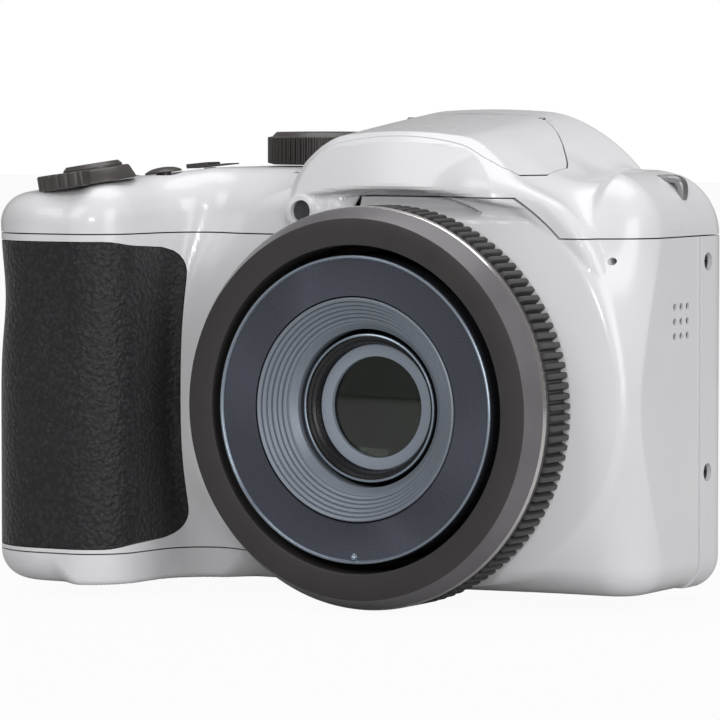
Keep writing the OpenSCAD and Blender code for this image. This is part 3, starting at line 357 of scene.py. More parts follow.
def rounded_rectangle(x, y, x0, x1, y0, y1, radii):
    """Rectangle with its own radius at each corner: front left, front right, rear left, rear right."""
    px = x - (x0 + x1) / 2
    py = y - (y0 + y1) / 2
    r = np.where(py < 0, np.where(px < 0, radii[0], radii[1]), np.where(px < 0, radii[2], radii[3]))
    qx = np.abs(px) - (x1 - x0) / 2 + r
    qy = np.abs(py) - (y1 - y0) / 2 + r
    return np.minimum(np.maximum(qx, qy), 0) + np.hypot(np.maximum(qx, 0), np.maximum(qy, 0)) - r


def plan(x, y):
    """Plan outline: a rectangle as deep as the grip, less the corner in front of the lens side."""
    outer = rounded_rectangle(x, y, SIDE_L, SIDE_R, NOSE_Y, REAR_Y, (13, 5, 9, 6))
    flank = FLANK_X + 0.09 * (y - 3) - x
    notch = round_max(flank, y - FRONT_Y, 8.5)
    return round_max(outer, -notch, 8)


def deck(x, y):
    """Height of the top deck: it falls towards the shutter button and dips right of the hump."""
    fall = 1.5 * np.clip((25 - y) / 20, 0, 1.5) * np.clip((-35 - x) / 18, 0, 1)
    dip = smooth((x - 15) / 4) * (1 - smooth((x - 32) / 3)) * (1 - smooth((y - 34) / 10))
    return DECK_Z - 0.1 * np.maximum(0, -40 - x) - fall - 1.6 * dip


def body_walls(x, y, z):
    """Upright walls of the body, without an end; the grip has a slight waist."""
    waist = 0.8 * np.exp(-(((z - 17) / 8) ** 2)) * smooth((-45 - x) / 10)
    return plan(x, y) + waist


def collar_radius(x, z):
    """Outer radius of the collar, drawn in below the lens axis."""
    r = np.maximum(np.hypot(x, z), 1e-6)
    return COLLAR_R - 9.5 * (np.minimum(z, 0) / r) ** 2


def dish_depth(r):
    """Depth of the dish at a radius: it falls back slightly outside the lens ring."""
    return 13.2 + 0.25 * np.maximum(r - RING_R, 0)


def cove(x, z):
    """Depth of the shadowed cove between the hump's front plate and the lens ring."""
    return 6.5 * smooth((z - 30.4) / 2.4) * smooth((x + 12) / 5) * (1 - smooth((x - 27) / 7))


def collar(x, y, z):
    """Shallow dish round the lens, with a rounded rim and the boss of the lamp."""
    r = np.hypot(x, z) + COLLAR_R - collar_radius(x, z)
    dish = dish_depth(r) + cove(x, z) - y
    side = (r - COLLAR_R - 0.18 * (y - 15)) * 0.98
    solid = round_max(dish, side, 0.5)
    boss = round_max(np.hypot(x - LAMP[0], z - LAMP[1]) - 2.9, 12.7 - y, 0.5)
    solid = round_min(solid, boss, 0.5)
    return np.maximum(np.maximum(solid, y - 25), z - FASCIA_FOOT - 2)


def hump(x, y, z):
    """Hump over the lens: crowned, narrow at its front plate, tall and wide at the rear."""
    t = np.clip((y - HUMP_Y0) / (HUMP_Y1 - HUMP_Y0), -0.12, 1)
    foot = 19.2 + 8.3 * t
    lean = 0.35 + 0.30 * t
    top = z - (HUMP_FRONT_Z + (HUMP_Z - HUMP_FRONT_Z) * t) + x * x / (150 + 130 * t)
    flank = (np.abs(x) - foot + (z - 38.3) * lean) / np.sqrt(1 + lean * lean)
    outline = round_max(top, flank, 6 + 3.5 * t)
    plate = 11.5 + 0.33 * (z - 35) + 1.6 * (x / 17) ** 2
    front = (plate - y) * 0.95
    bevel = (outline + front + 1.5) * 0.7
    solid = np.maximum(round_max(outline, front, 0.6), bevel)
    return np.maximum(round_max(solid, y - REAR_Y + 0.2, 1.8), 32 - z)


def brow(x, y, z):
    """Arched skirt that carries the hump down the right side of the lens."""
    r = np.hypot(x, z)
    turn = np.degrees(np.arctan2(z, np.maximum(x, 1e-6)))
    edge = 45 - 3.5 * np.clip((40 - turn) / 25, 0, 1)
    arch = round_max(r - edge, z - 37.2, 5)
    arch = round_max(arch, 13.2 + 0.12 * np.maximum(0, 36 - z) - y, 2.5)
    return np.maximum(np.maximum(arch, y - 34), 6 - x)


def camera_body(x, y, z):
    """The whole moulded body: grip, walls and deck, with the hump, its brow and the dish round the lens."""
    walls = body_walls(x, y, z)
    under_deck = z - deck(x, y)
    edge = 7 - 2.4 * smooth((-50 - x) / 10) + 3.8 * smooth((x - 24) / 12)
    body = round_max(walls, under_deck, edge)
    right = smooth((x - 6) / 10)
    upper = round_min(brow(x, y, z), body, 3.0)
    fillet = 1.6 + 4.0 * right * (1 - smooth((y - 32) / 10))
    upper = round_min(hump(x, y, z), upper, fillet)
    r = np.hypot(x, z)
    foot = FASCIA_FOOT + 1.2 - 0.0055 * x * x
    cone = (14.6 - 0.75 * np.maximum(r - 38.5, 0) - y) * 0.8
    room = np.maximum(round_max(r - 46, z - foot, 2.0), -cone)
    room = np.minimum(room, np.maximum(r - RING_R - 2.5, z - foot))
    upper = round_max(upper, -np.maximum(room, y - 15.4 - cove(x, z)), 0.8)
    dish = collar(x, y, z)
    lower = round_max(round_min(dish, walls, 8.0), under_deck, edge)
    by_door = smooth((x + 56) / 6) * (1 - smooth((x + 36) / 5)) * (1 - smooth((y - 22) / 6))
    whole = round_max(np.minimum(np.minimum(upper, lower), dish), BASE_Z - z, 5.0 - 4.0 * by_door)
    return np.maximum(whole, np.maximum(x - SIDE_R, SIDE_L - x))


def rear_shell(x, y, z):
    """The rear cover stands a little proud of the front one, and runs out level with the rear face."""
    proud = 0.45 * (1 - smooth((y - 45) / 4))
    return np.maximum(camera_body(x, y, z) - proud, BASE_Z - z)


# Meshing


def gradient(field, p, h=0.02):
    """Slope of a field at points, from steps of h to both sides."""
    steps = np.eye(3) * h
    return np.stack([(field(*(p + s).T) - field(*(p - s).T)) / (2 * h) for s in steps], axis=1)


def to_model(p):
    """Points of the lens frame in the model's metres."""
    return np.asarray(p) * MM + np.array(LENS)


def surface(field, level, pitch, from_y=None):
    """Points and faces of the surface where the field has that level, in the lens frame."""
    margin = 3
    pulls = 3
    lo = np.array([SIDE_L, NOSE_Y if from_y is None else from_y, BASE_Z]) - margin
    hi = np.array([SIDE_R, REAR_Y, HUMP_Z]) + margin
    count = np.ceil((hi - lo) / pitch).astype(int) + 1
    axes = [lo[k] + pitch * np.arange(count[k]) for k in range(3)]
    x, y, z = np.meshgrid(*axes, indexing="ij", sparse=True)
    values = np.broadcast_to(field(x, y, z) - level, count).astype(np.float32)
    if from_y is not None:
        values = np.maximum(values, (lo[1] + 1.5 * pitch - axes[1]).astype(np.float32)[None, :, None])
    grid = openvdb.FloatGrid(4 * pitch)
    grid.copyFromArray(np.ascontiguousarray(values))
    points, quads = grid.convertToQuads(0.0)
    points = points.astype(float) * pitch + lo
    free = points[:, 1] > lo[1] + 2.5 * pitch if from_y is not None else np.ones(len(points), bool)
    # The points are pulled onto the field's own surface
    for _ in range(pulls):
        g = gradient(field, points[free])
        miss = field(*points[free].T) - level
        points[free] -= np.clip(miss, -pitch, pitch)[:, None] * g / np.maximum((g * g).sum(1), 0.25)[:, None]
    return points, quads[:, ::-1]


def mesh_object(name, points, faces, flip=False):
    """A mesh object from points in the lens frame."""
    mesh = bpy.data.meshes.new(name)
    faces = [tuple(f)[::-1] for f in faces] if flip else [tuple(f) for f in faces]
    mesh.from_pydata(to_model(points).tolist(), [], faces)
    mesh.update()
    obj = bpy.data.objects.new(name, mesh)
    bpy.context.scene.collection.objects.link(obj)
    return obj


def joined(name, parts):
    """One mesh object from several (points, faces) lists."""
    points, faces, start = [], [], 0
    for p, f in parts:
        points.append(np.asarray(p, float))
        faces += [[i + start for i in face] for face in f]
        start += len(p)
    return mesh_object(name, np.concatenate(points), faces)


def signed_area(outline):
    """Twice the area of a closed outline, above zero where it runs anticlockwise."""
    following = outline[1:] + outline[:1]
    return sum(a[0] * b[1] - b[0] * a[1] for a, b in zip(outline, following))


def prism(outline, axis, lo, hi):
    """(points, faces) of a closed prism: an outline of two coordinates, swept along the third axis."""
    n = len(outline)
    points = []
    for depth in (lo, hi):
        for a, b in outline:
            point = [a, b]
            point.insert(axis, depth)
            points.append(point)
    faces = [[i, (i + 1) % n, n + (i + 1) % n, n + i] for i in range(n)]
    faces += [list(range(n))[::-1], list(range(n, 2 * n))]
    if (signed_area(outline) > 0) == (axis == 1):
        faces = [f[::-1] for f in faces]
    return points, faces


def box(lo, hi):
    """(points, faces) of a box between two corners."""
    return prism([(lo[0], lo[1]), (hi[0], lo[1]), (hi[0], hi[1]), (lo[0], hi[1])], 2, lo[2], hi[2])


def circle(centre, r, n=48):
    """Outline of a circle with n points."""
    angles = [2 * math.pi * i / n for i in range(n)]
    return [(centre[0] + r * math.cos(a), centre[1] + r * math.sin(a)) for a in angles]


def boolean(obj, operation, cutter):
    """Applies one boolean and returns the object; the cutter is used up."""
    modifier = obj.modifiers.new("cut", "BOOLEAN")
    modifier.operation = operation
    modifier.solver = "MANIFOLD"
    modifier.object = cutter
    bpy.context.view_layer.update()
    made = bpy.data.meshes.new_from_object(obj.evaluated_get(bpy.context.evaluated_depsgraph_get()))
    obj.modifiers.clear()
    old = obj.data
    obj.data = made
    bpy.data.meshes.remove(old)
    bpy.data.objects.remove(cutter)
    return obj


def cut(obj, *parts):
    """Takes (points, faces) parts out of an object."""
    return boolean(obj, "DIFFERENCE", joined("cutter", parts))


def keep(obj, *parts):
    """Keeps what of an object lies in (points, faces) parts."""
    return boolean(obj, "INTERSECT", joined("keeper", parts))


def copy_of(obj, name):
    twin = obj.copy()
    twin.data = obj.data.copy()
    twin.name = name
    bpy.context.scene.collection.objects.link(twin)
    return twin


def field_normals(obj, field):
    """Shades the outer skin by the field's own slope, and cut edges flat."""
    mesh = obj.data
    mesh.shade_smooth()
    n = len(mesh.vertices)
    co = np.zeros(n * 3)
    mesh.vertices.foreach_get("co", co)
    points = (co.reshape(-1, 3) - np.array(LENS)) / MM
    slope = gradient(field, points)
    slope /= np.maximum(np.linalg.norm(slope, axis=1), 1e-6)[:, None]
    corners = np.zeros(len(mesh.loops), int)
    mesh.loops.foreach_get("vertex_index", corners)
    totals = np.zeros(len(mesh.polygons), int)
    mesh.polygons.foreach_get("loop_total", totals)
    flat = np.zeros(len(mesh.polygons) * 3)
    mesh.polygons.foreach_get("normal", flat)
    face = np.repeat(flat.reshape(-1, 3), totals, axis=0)
    own = slope[corners]
    facing = (own * face).sum(1)
    skin = facing > 0.75  # within about 41 degrees of the face's own normal
    normals = np.where(skin[:, None], own, face)
    mesh.normals_split_custom_set(normals)


# Covers


def dish_prism(g):
    """Front of the dish under the hump, which belongs to the front cover, moved out by g."""
    r = COLLAR_R + g
    rise = math.asin(20 / r)
    crest = math.asin(FASCIA_FOOT / r)
    arc = [rise + (crest - rise) * i / 16 for i in range(17)]
    outline = [(r * math.cos(a), r * math.sin(a) + g) for a in arc]
    return prism(outline + [(DISH_END - g, FASCIA_FOOT + g), (DISH_END - g, 20)], 1, -20, 24)


def lid_zone(g):
    """Space of the flash lid, grown by g: a side view for its front and foot, a plan for its rear edge."""
    side = [(16 - g, 60), (15.6 - g, 44.8), (15.2 - g, 41), (15.8 - g, 39.2), (17.2 - g, 38 - g),
            (90, 38 - g), (90, 60)]
    edge = [(LID_HALF, 29.6), (23.2, 30.4), (22.9, 31.2), (21.5, 33.4), (19.6, 36.1), (17.4, 38.6),
            (15.3, 40.6), (13, 42.2), (11, 42.8)]
    half = [(x + g, y + g) for x, y in edge]
    rear = [(-LID_HALF - g, -FAR), (LID_HALF + g, -FAR)] + half
    rear += [(-x, y) for x, y in half[::-1]]
    zone = joined("lid_zone", [prism(side, 0, -100, 100)])
    keep(zone, prism(rear, 2, 30, 70))
    roll = joined("roll", [prism(circle(PIVOT, 1.2 + g, 32), 0, -13.6 - g, 13.6 + g)])
    return boolean(zone, "UNION", roll)


def rubber_outline(g):
    """Front view of the rubber grip, grown by g."""
    r = 6.0 + g
    low, high = RUBBER_LO - g + r, RUBBER_HI + g - r
    turns = [math.pi / 2 * i / 10 for i in range(11)]
    x = RUBBER_X + g - r
    lower = [(x + r * math.cos(-math.pi / 2 + a), low + r * math.sin(-math.pi / 2 + a)) for a in turns]
    upper = [(x + r * math.cos(a), high + r * math.sin(a)) for a in turns]
    return [(-FAR, RUBBER_LO - g)] + lower + upper + [(-FAR, RUBBER_HI + g)]


def flash_block(grow, lo, hi):
    """Block on the sloping front of the flash head, as a prism along X."""
    tilt = math.radians(38)
    out = Vector((math.sin(tilt), math.cos(tilt)))
    along = Vector((math.cos(tilt), -math.sin(tilt)))
    corner = Vector((17.2, 42.6))
    ends = [(1.4 - grow, lo), (7.2 + grow, lo), (7.2 + grow, hi), (1.4 - grow, hi)]
    outline = [tuple(corner + along * a + out * b) for a, b in ends]
    return prism(outline, 0, -12 - grow, 12 + grow)


def node_hole(node, axis, grow, lo, hi):
    """Prism through a cover for a round node, along an axis."""
    low, high = lens_box(node)
    across = [k for k in range(3) if k != axis]
    centre = [(low[k] + high[k]) / 2 for k in across]
    return prism(circle(centre, (high[across[0]] - low[across[0]]) / 2 + grow), axis, lo, hi)


def node_slot(node, axis, grow, lo, hi):
    """Box through a cover for a square node, along an axis."""
    low, high = (list(corner) for corner in lens_box(node))
    low = [v - grow for v in low]
    high = [v + grow for v in high]
    low[axis], high[axis] = lo, hi
    return box(low, high)


def make_top(solid, hollow):
    """Top cover: bored for the stems of the controls, with the flash bay and the lamp's bore."""
    g = SEAM / 2
    room = cut(copy_of(hollow, "room"), box((-34, 0, 35.4), (34, 48, 37.4)))
    top = boolean(copy_of(solid, "top_cover_skin"), "DIFFERENCE", room)
    cut(top, box((-FAR, -FAR, -FAR), (FAR, FAR, PART_HI + g)))
    cut(top, dish_prism(g))
    boolean(top, "DIFFERENCE", lid_zone(0.2))
    stems = [prism(circle(at, r, 24), 2, 30, 40) for at, r in ((LEVER, 3.1), (DRIVE, 1.5), (DIAL, 2.6))]
    slot = box((POWER[0] - 3.3, POWER[1] - 1.4, 30), (POWER[0] + 3.4, POWER[1] + 1.4, 41))
    cut(top, *stems, slot)
    well = prism(circle((0, 0), 3.5, 48), 2, -1.0, 6)
    cut(top, (deck_points(DRIVE, well[0]), well[1]))
    cut(top, prism(circle(DIAL, 9.85, 72), 2, DECK_Z + 0.02, 60))
    return cut(top, prism(circle(LAMP, 1.85, 40), 1, 9, 26))


def make_lid(solid, hollow):
    """Flash lid: hollow, with a pocket for the flash head in its front."""
    lid = boolean(copy_of(solid, "flash_lid_skin"), "INTERSECT", lid_zone(0))
    room = cut(copy_of(hollow, "room"), flash_block(1.6, 0.2, 5.7))
    boolean(lid, "DIFFERENCE", keep(room, box((-FAR, 0, 0), (FAR, PIVOT[0] - 1.9, FAR))))
    cut(lid, flash_block(0.05, -5, 2.7))
    return lid


def make_front(shell):
    """Front cover: cut for the rubber, the lens, the speaker, the microphone and the port."""
    g = SEAM / 2
    form = joined("form", [box((-FAR, -FAR, -FAR), (FAR, SPLIT_Y - g, PART_HI - g))])
    boolean(form, "UNION", joined("dish", [dish_prism(-g)]))
    front = boolean(copy_of(shell, "front_cover_skin"), "INTERSECT", form)
    cut(front, box((-FAR, -FAR, -FAR), (FOOT_SPLIT_X + g, FAR, FOOT_Z + g)))
    cut(front, box((FOOT_SPLIT_X - 1, FRONT_Y + 4.6, -FAR), (SIDE_R - 6.4, FAR, BASE_Z + WALL + 0.2)))
    cut(front, prism(rubber_outline(0.18), 1, -FAR, RUBBER_BACK + 0.18))
    speaker = lens_box("speaker")
    mid = [(speaker[0][k] + speaker[1][k]) / 2 for k in (1, 2)]
    holes = [prism(circle((mid[0] + 2.4 * i, mid[1] + 2.4 * k), 0.6, 20), 0, SIDE_R - 4, SIDE_R + 4)
             for i in (-1, 0, 1) for k in (-1, 0, 1)]
    cut(front, box((SIDE_R - 4, 27, 8), (SIDE_R - 0.4, 39, 20)))
    mic = prism(circle((SIDE_R - 5, PART_HI - 3.6), 0.62, 24), 1, FRONT_Y - 4, FRONT_Y + 6)
    lens = prism(circle((0, 0), 28.1, 120), 1, 0, SPLIT_Y - 4)
    port = node_slot("port_cover", 0, GAP, SIDE_L - 5, SIDE_L + 4)
    return cut(front, *holes, mic, lens, port)


def make_rear(shell):
    """Rear cover: cut for the display, the buttons and the side screws."""
    g = SEAM / 2
    rear = keep(copy_of(shell, "rear_cover_skin"), box((-FAR, SPLIT_Y + g, -FAR), (FAR, FAR, PART_HI - g)))
    cut(rear, box((-FAR, -FAR, -FAR), (FOOT_SPLIT_X + g, FAR, FOOT_Z + g)))
    cut(rear, box((FOOT_SPLIT_X - 1, -FAR, -FAR), (SIDE_R - 6.4, REAR_Y - 6.6, BASE_Z + WALL + 0.2)))
    lo, hi = REAR_Y - 5, REAR_Y + 5
    names = ("record_button", "flash_release", "menu_button", "delete_button")
    buttons = [node_hole(name, 1, GAP, lo, hi) for name in names]
    pad = node_hole("four_way_pad", 1, GAP, lo, hi)
    window = node_slot("lcd_window", 1, 0.1, lo, hi)
    screws = [prism(circle((SPLIT_Y + 2.4, z), 1.52, 32), 0, SIDE_R - 1.0, SIDE_R + 4) for z in (23.5, -11.4)]
    return cut(rear, *buttons, pad, window, *screws)


def make_bottom(shell):
    """Bottom cover: the grip's foot and the base plate, cut for door, tripod socket and screws."""
    g = SEAM / 2
    form = joined("form", [box((-FAR, -FAR, -FAR), (FOOT_SPLIT_X - g, FAR, FOOT_Z - g))])
    plate = [box((FOOT_SPLIT_X - 1, FRONT_Y + 4.8, -FAR), (SIDE_R - 6.6, REAR_Y - 6.8, BASE_Z + WALL))]
    boolean(form, "UNION", joined("plate", plate))
    bottom = boolean(copy_of(shell, "bottom_cover_skin"), "INTERSECT", form)
    door = node_slot("battery_door", 2, GAP, BASE_Z - 2, BASE_Z + 2.4)
    tripod = node_hole("tripod_socket", 2, 0.1, BASE_Z - 2, BASE_Z + 6)
    screws = [prism(circle(at, 1.7, 32), 2, BASE_Z - 2, BASE_Z + 1.0) for at in
              ((-24, 39.5), (35, 39.5), (35, 26), (-24, 26))]
    return cut(bottom, door, tripod, *screws)


def make_covers():
    """All covers and the rubber, cut from one moulded form so that they meet at their seams."""
    outer = surface(camera_body, 0.0, GRID)
    inner = surface(camera_body, -WALL, 2 * GRID)
    shell = joined("shell", [outer, (inner[0], inner[1][:, ::-1])])
    solid = joined("solid", [outer])
    hollow = joined("hollow", [inner])
    back = surface(rear_shell, 0.0, GRID, SPLIT_Y - 3)
    back_inner = surface(rear_shell, -WALL, 2 * GRID, SPLIT_Y - 0.5)
    rear_form = joined("rear_form", [back, (back_inner[0], back_inner[1][:, ::-1])])
    grip = keep(copy_of(shell, "grip_rubber_skin"), prism(rubber_outline(0), 1, -FAR, RUBBER_BACK))
    made = [
        (make_top(solid, hollow), camera_body, WHITE, "body", "white_plastic", "top_cover"),
        (make_lid(solid, hollow), camera_body, WHITE, "flash", "white_plastic", "flash_lid"),
        (make_front(shell), camera_body, WHITE, "body", "white_plastic", "front_cover"),
        (make_rear(rear_form), rear_shell, WHITE, "body", "white_plastic", "rear_cover"),
        (make_bottom(shell), camera_body, WHITE, "body", "white_plastic", "bottom_cover"),
        (grip, camera_body, RUBBER, "body", "grip_rubber", "grip_rubber"),
    ]
    for obj, field, material, body, slot, node in made:
        field_normals(obj, field)
        dress(obj, body, slot, [material], node)
    for spare in (shell, solid, hollow, rear_form):
        bpy.data.objects.remove(spare)


# Lathe work and other small shapes


def ring_faces(n, k):
    """Quads of a closed grid of n columns with k points each."""
    return [[i * k + j, i * k + (j + 1) % k, (i + 1) % n * k + (j + 1) % k, (i + 1) % n * k + j]
            for i in range(n) for j in range(k)]


def soften(obj, degrees):
    """Smooth shading with edges sharper than the angle kept crisp."""
    obj.data.shade_smooth()
    obj.data.set_sharp_from_angle(angle=math.radians(degrees))
    return obj


def turned(name, profile, bands=None, n=192):
    """A ring turned about the lens axis from a closed profile of (radius, depth).

    bands gives the material index of the profile's segments that don't have the first material.
    """
    k = len(profile)
    angles = 2 * np.pi * np.arange(n) / n
    r = np.array([p[0] for p in profile])
    y = np.array([p[1] for p in profile])
    points = np.stack([np.outer(np.cos(angles), r), np.tile(y, (n, 1)), np.outer(np.sin(angles), r)], axis=2)
    obj = mesh_object(name, points.reshape(-1, 3), ring_faces(n, k), flip=signed_area(profile) < 0)
    for polygon in obj.data.polygons:
        polygon.material_index = (bands or {}).get(polygon.index % k, 0)
    return soften(obj, 24)


def knurl(name, r, depth, y0, y1, count):
    """Ring of rounded trapezoid ribs, with bevelled ends."""
    shape = [(0.0, 0.0), (0.16, 0.0), (0.22, 0.5), (0.3, 0.92), (0.4, 1.0), (0.7, 1.0), (0.8, 0.92),
             (0.88, 0.5), (0.94, 0.0)]
    rows = [(y0, None), (y0, 0.0), (y0 + 0.02, 0.7), (y0 + 0.22, 0.96), (y0 + 0.5, 1.0), (y1 - 0.5, 1.0),
            (y1 - 0.2, 0.94), (y1 - 0.02, 0.7), (y1, 0.0), (y1, None)]
    columns = [((i + u) / count * 2 * math.pi, h) for i in range(count) for u, h in shape]
    points = []
    for a, h in columns:
        for y, share in rows:
            radius = r - depth - 1.0 if share is None else r - depth + depth * h * share
            points.append((radius * math.cos(a), y, radius * math.sin(a)))
    return soften(mesh_object(name, points, ring_faces(len(columns), len(rows)), flip=False), 40)


def dress(obj, body, slot, materials, *nodes):
    """Gives a piece its materials and its body, and hides the nodes it stands for; the slot is not used."""
    if len(obj.data.materials):
        obj.data.materials.clear()
    for material in materials:
        obj.data.materials.append(material)
    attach(obj, body)
    if nodes:
        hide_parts(*nodes)


def make_lens():
    """Lens ring, knurled ring, both barrels, front cell and retainer, from (radius, depth) profiles."""
    seat = lens_box("lens_front_ring")[1].y
    ring = [(26.7, 0.35), (26.8, 0.1), (27.05, 0.0), (30.95, 0.0), (31.1, 0.06), (32.3, 2.3), (32.75, 3.4),
            (32.95, 3.75), (33.0, 4.05), (32.9, 4.4), (32.75, 5.4), (32.3, 5.6), (32.0, 6.3), (28.6, 6.3),
            (28.6, seat), (26.7, seat)]
    # Segments 4 and 5 are the bevel, coloured paler as a painted highlight; 6 to 8 are the bright metal line
    bands = {4: 1, 5: 1, 6: 2, 7: 2, 8: 2}
    dress(turned("lens_ring", ring, bands), "body", "ring_charcoal", [CHARCOAL, CHARCOAL_BEVEL_PAINTED_HIGHLIGHT, BRIGHT_LINE],
          "lens_front_ring")
    dress(knurl("knurl_ring", 33.0, 1.15, 6.25, 13.0, 122), "body", "knurl_black", [KNURL], "knurled_ring")
    barrel = [(25.12, 0.1), (25.05, -0.15), (24.9, -0.28), (24.7, -0.25), (24.55, -0.05), (24.5, 0.12),
              (18.9, 0.2), (18.5, 0.24), (18.45, 0.6), (18.45, 36.5), (25.12, 36.5)]
    bands = {0: 1, 1: 1, 2: 1, 3: 1, 4: 1, 7: 2, 8: 2}
    dress(turned("barrel_tube", barrel, bands), "outer_barrel", "barrel_dark", [BARREL, PALE_TURNED_METAL_AND_PAINTED_HIGHLIGHT, BLACK],
          "outer_barrel")
    cone = [(18.25, 0.25)]
    steps, drop, width = 6, 0.56, 0.66
    for i in range(steps):
        r = 18.15 - width * i
        y = 0.1 + drop * i
        cone += [(r, y), (r - 0.12, y - 0.06), (r - 0.46, y + 0.12), (r - 0.54, y + 0.24),
                 (r - 0.56, y + drop + 0.04)]
    cone += [(14.0, 3.55), (13.2, 4.35), (13.0, 4.6), (13.0, 7.0), (16.6, 9.0), (16.6, 32.5), (18.25, 32.5)]
    dress(turned("stepped_cone", cone), "inner_barrel", "barrel_grey", [STEPPED], "inner_barrel")
    cell = [(12.2, 13.8), (12.2, 5.3), (12.1, 5.05), (11.9, 4.98), (11.75, 5.1), (11.55, 5.5), (11.2, 5.75),
            (11.1, 6.2), (10.75, 6.5), (10.62, 7.1), (10.42, 7.4), (10.36, 9.3), (10.36, 13.8)]
    # The cell's front lip takes the pale metal as a painted highlight on the black anodised cell
    dress(turned("glass_cell", cell, {1: 1, 2: 1, 3: 1}), "inner_barrel", "black_plastic", [CELL, PALE_TURNED_METAL_AND_PAINTED_HIGHLIGHT],
          "front_cell")
    keeper = [(10.34, 9.2), (10.34, 7.75), (10.2, 7.62), (8.55, 7.72), (8.35, 7.8), (8.3, 8.0), (8.3, 9.2)]
    dress(turned("keeper_ring", keeper), "inner_barrel", "retainer_grey", [RETAINER], "element_retainer")


def make_glass():
    """Front element: a domed disc of coated glass, with an opaque disc behind it coloured nearly black as
    painted shade for the dark inside of the lens.
    """
    pole = 0.01  # a profile stops just short of the axis
    sides = 96
    r, n = 9.45, 24
    front = [(r * k / n, 7.95 + 0.75 * (k / n) ** 2) for k in range(1, n + 1)]
    back = [(r * k / n, 11.6 + 0.8 * (1 - (k / n) ** 2)) for k in range(n, 0, -1)]
    lens = turned("front_glass", [(pole, 7.95)] + front + back + [(pole, 12.4)], None, sides)
    dress(lens, "inner_barrel", "lens_glass", [GLASS], "front_element")
    r, n = 9.0, 16
    curve = [(r * k / n, 15.6 + 2.4 * (k / n) ** 2) for k in range(1, n + 1)]
    inner = [(pole, 15.6)] + curve + [(r, 19.0), (pole, 19.0)]
    # The second element is opaque, coloured nearly black as painted shade deep in the lens
    dress(turned("second_glass", inner, None, sides), "inner_barrel", "lens_glass", [GLASS_PAINTED_SHADE])


def loft(path, half_y, half_n, scales, y_mid):
    """A bar of rounded section along a path in X and Z, with a scale at each point."""
    ring = [(1, 0.55), (0.7, 1), (-0.7, 1), (-1, 0.55), (-1, -0.55), (-0.7, -1), (0.7, -1), (1, -0.55)]
    points = []
    for i, (x, z) in enumerate(path):
        a = Vector(path[max(i - 1, 0)])
        b = Vector(path[min(i + 1, len(path) - 1)])
        along = (b - a).normalized()
        for u, v in ring:
            points.append((x - along.y * v * half_n * scales[i], y_mid + u * half_y * scales[i],
                           z + along.x * v * half_n * scales[i]))
    n, k = len(path), len(ring)
    faces = [[i * k + j, i * k + (j + 1) % k, (i + 1) * k + (j + 1) % k, (i + 1) * k + j]
             for i in range(n - 1) for j in range(k)]
    faces += [list(range(k))[::-1], list(range((n - 1) * k, n * k))]
    return points, faces


def make_lugs():
    """Strap lugs: a cast bar that bridges the rounded shoulder, with a leg at its outer end."""
    path = [(-10.6, 36.9), (-9.6, 37.0), (-8.0, 37.1), (-4.0, 37.2), (-2.9, 37.0), (-2.35, 36.5),
            (-2.15, 35.6), (-2.2, 34.2), (-2.6, 33.0)]
    scales = [0.12, 0.5, 0.9, 1, 1, 1, 0.95, 0.9, 0.85]
    half_y, half_thick, y_mid = 1.25, 0.75, 38.0
    right_path = [(SIDE_R + x, z) for x, z in path]
    left_path = [(SIDE_L - x - 1.2, z - 0.9) for x, z in path]
    right = loft(right_path, half_y, half_thick, scales, y_mid)
    left = loft(left_path, half_y, half_thick, scales, y_mid)
    lugs = joined("strap_bars", [right, (left[0], [f[::-1] for f in left[1]])])
    rounding = lugs.modifiers.new("rounding", "SUBSURF")
    rounding.levels = rounding.render_levels = 2
    dress(soften(lugs, 60), "body", "steel", [LUG_METAL], "strap_lugs")


def make_dial():
    """Mode dial: paired fine ribs round a low drum with a chamfered top."""
    low = DECK_Z + 0.35
    high = 44.5
    count, r, rib, centre_r = 60, 9.5, 0.45, 3.1
    ribbed = (2, 3)  # rows that carry the ribs
    shape = [(0.0, 0.0), (0.1, 0.0), (0.17, 1.0), (0.36, 1.0), (0.42, 0.45), (0.5, 0.45), (0.56, 1.0),
             (0.75, 1.0), (0.82, 0.0)]
    rows = [(low, -6.0), (low, -0.5), (low + 0.25, 0.0), (high - 0.9, 0.0), (high - 0.75, -0.35),
            (high - 0.12, -0.95), (high, -1.15), (high, -5.5), (high - 0.25, -5.7), (high - 0.25, -6.0)]
    points = []
    for i in range(count):
        for u, h in shape:
            a = 2 * math.pi * (i + u) / count
            for j, (z, inset) in enumerate(rows):
                radius = r + inset - (rib * (1 - h) if j in ribbed else rib)
                points.append((DIAL[0] + radius * math.cos(a), DIAL[1] + radius * math.sin(a), z))
    n, k = count * len(shape), len(rows)
    drum = mesh_object("dial_drum", points, ring_faces(n, k), flip=False)
    soften(drum, 35)
    dress(drum, "mode_dial", "control_grey", [CONTROL])
    disc = joined("dial_centre", [prism(circle(DIAL, centre_r), 2, high - 0.6, high - 0.22)])
    dress(soften(disc, 35), "mode_dial", "control_grey", [CONTROL])
    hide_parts("mode_dial")


def deck_points(at, points):
    """Points set on the deck: moved to a place there and tilted to its slope."""
    step = 1.0
    slope_x = math.atan((deck(at[0] + step, at[1]) - deck(at[0] - step, at[1])) / (2 * step))
    slope_y = math.atan((deck(at[0], at[1] + step) - deck(at[0], at[1] - step)) / (2 * step))
    turn = Matrix.Rotation(-slope_x, 3, "Y") @ Matrix.Rotation(slope_y, 3, "X")
    start = Vector((at[0], at[1], float(deck(at[0], at[1]))))
    return [start + turn @ Vector(p) for p in points]


def spun(profile, n=96):
    """(points, faces) of a ring spun about Z from a closed profile of (radius, height), run anticlockwise."""
    angles = [2 * math.pi * i / n for i in range(n)]
    points = [(r * math.cos(a), r * math.sin(a), z) for a in angles for r, z in profile]
    return points, [f[::-1] for f in ring_faces(n, len(profile))]


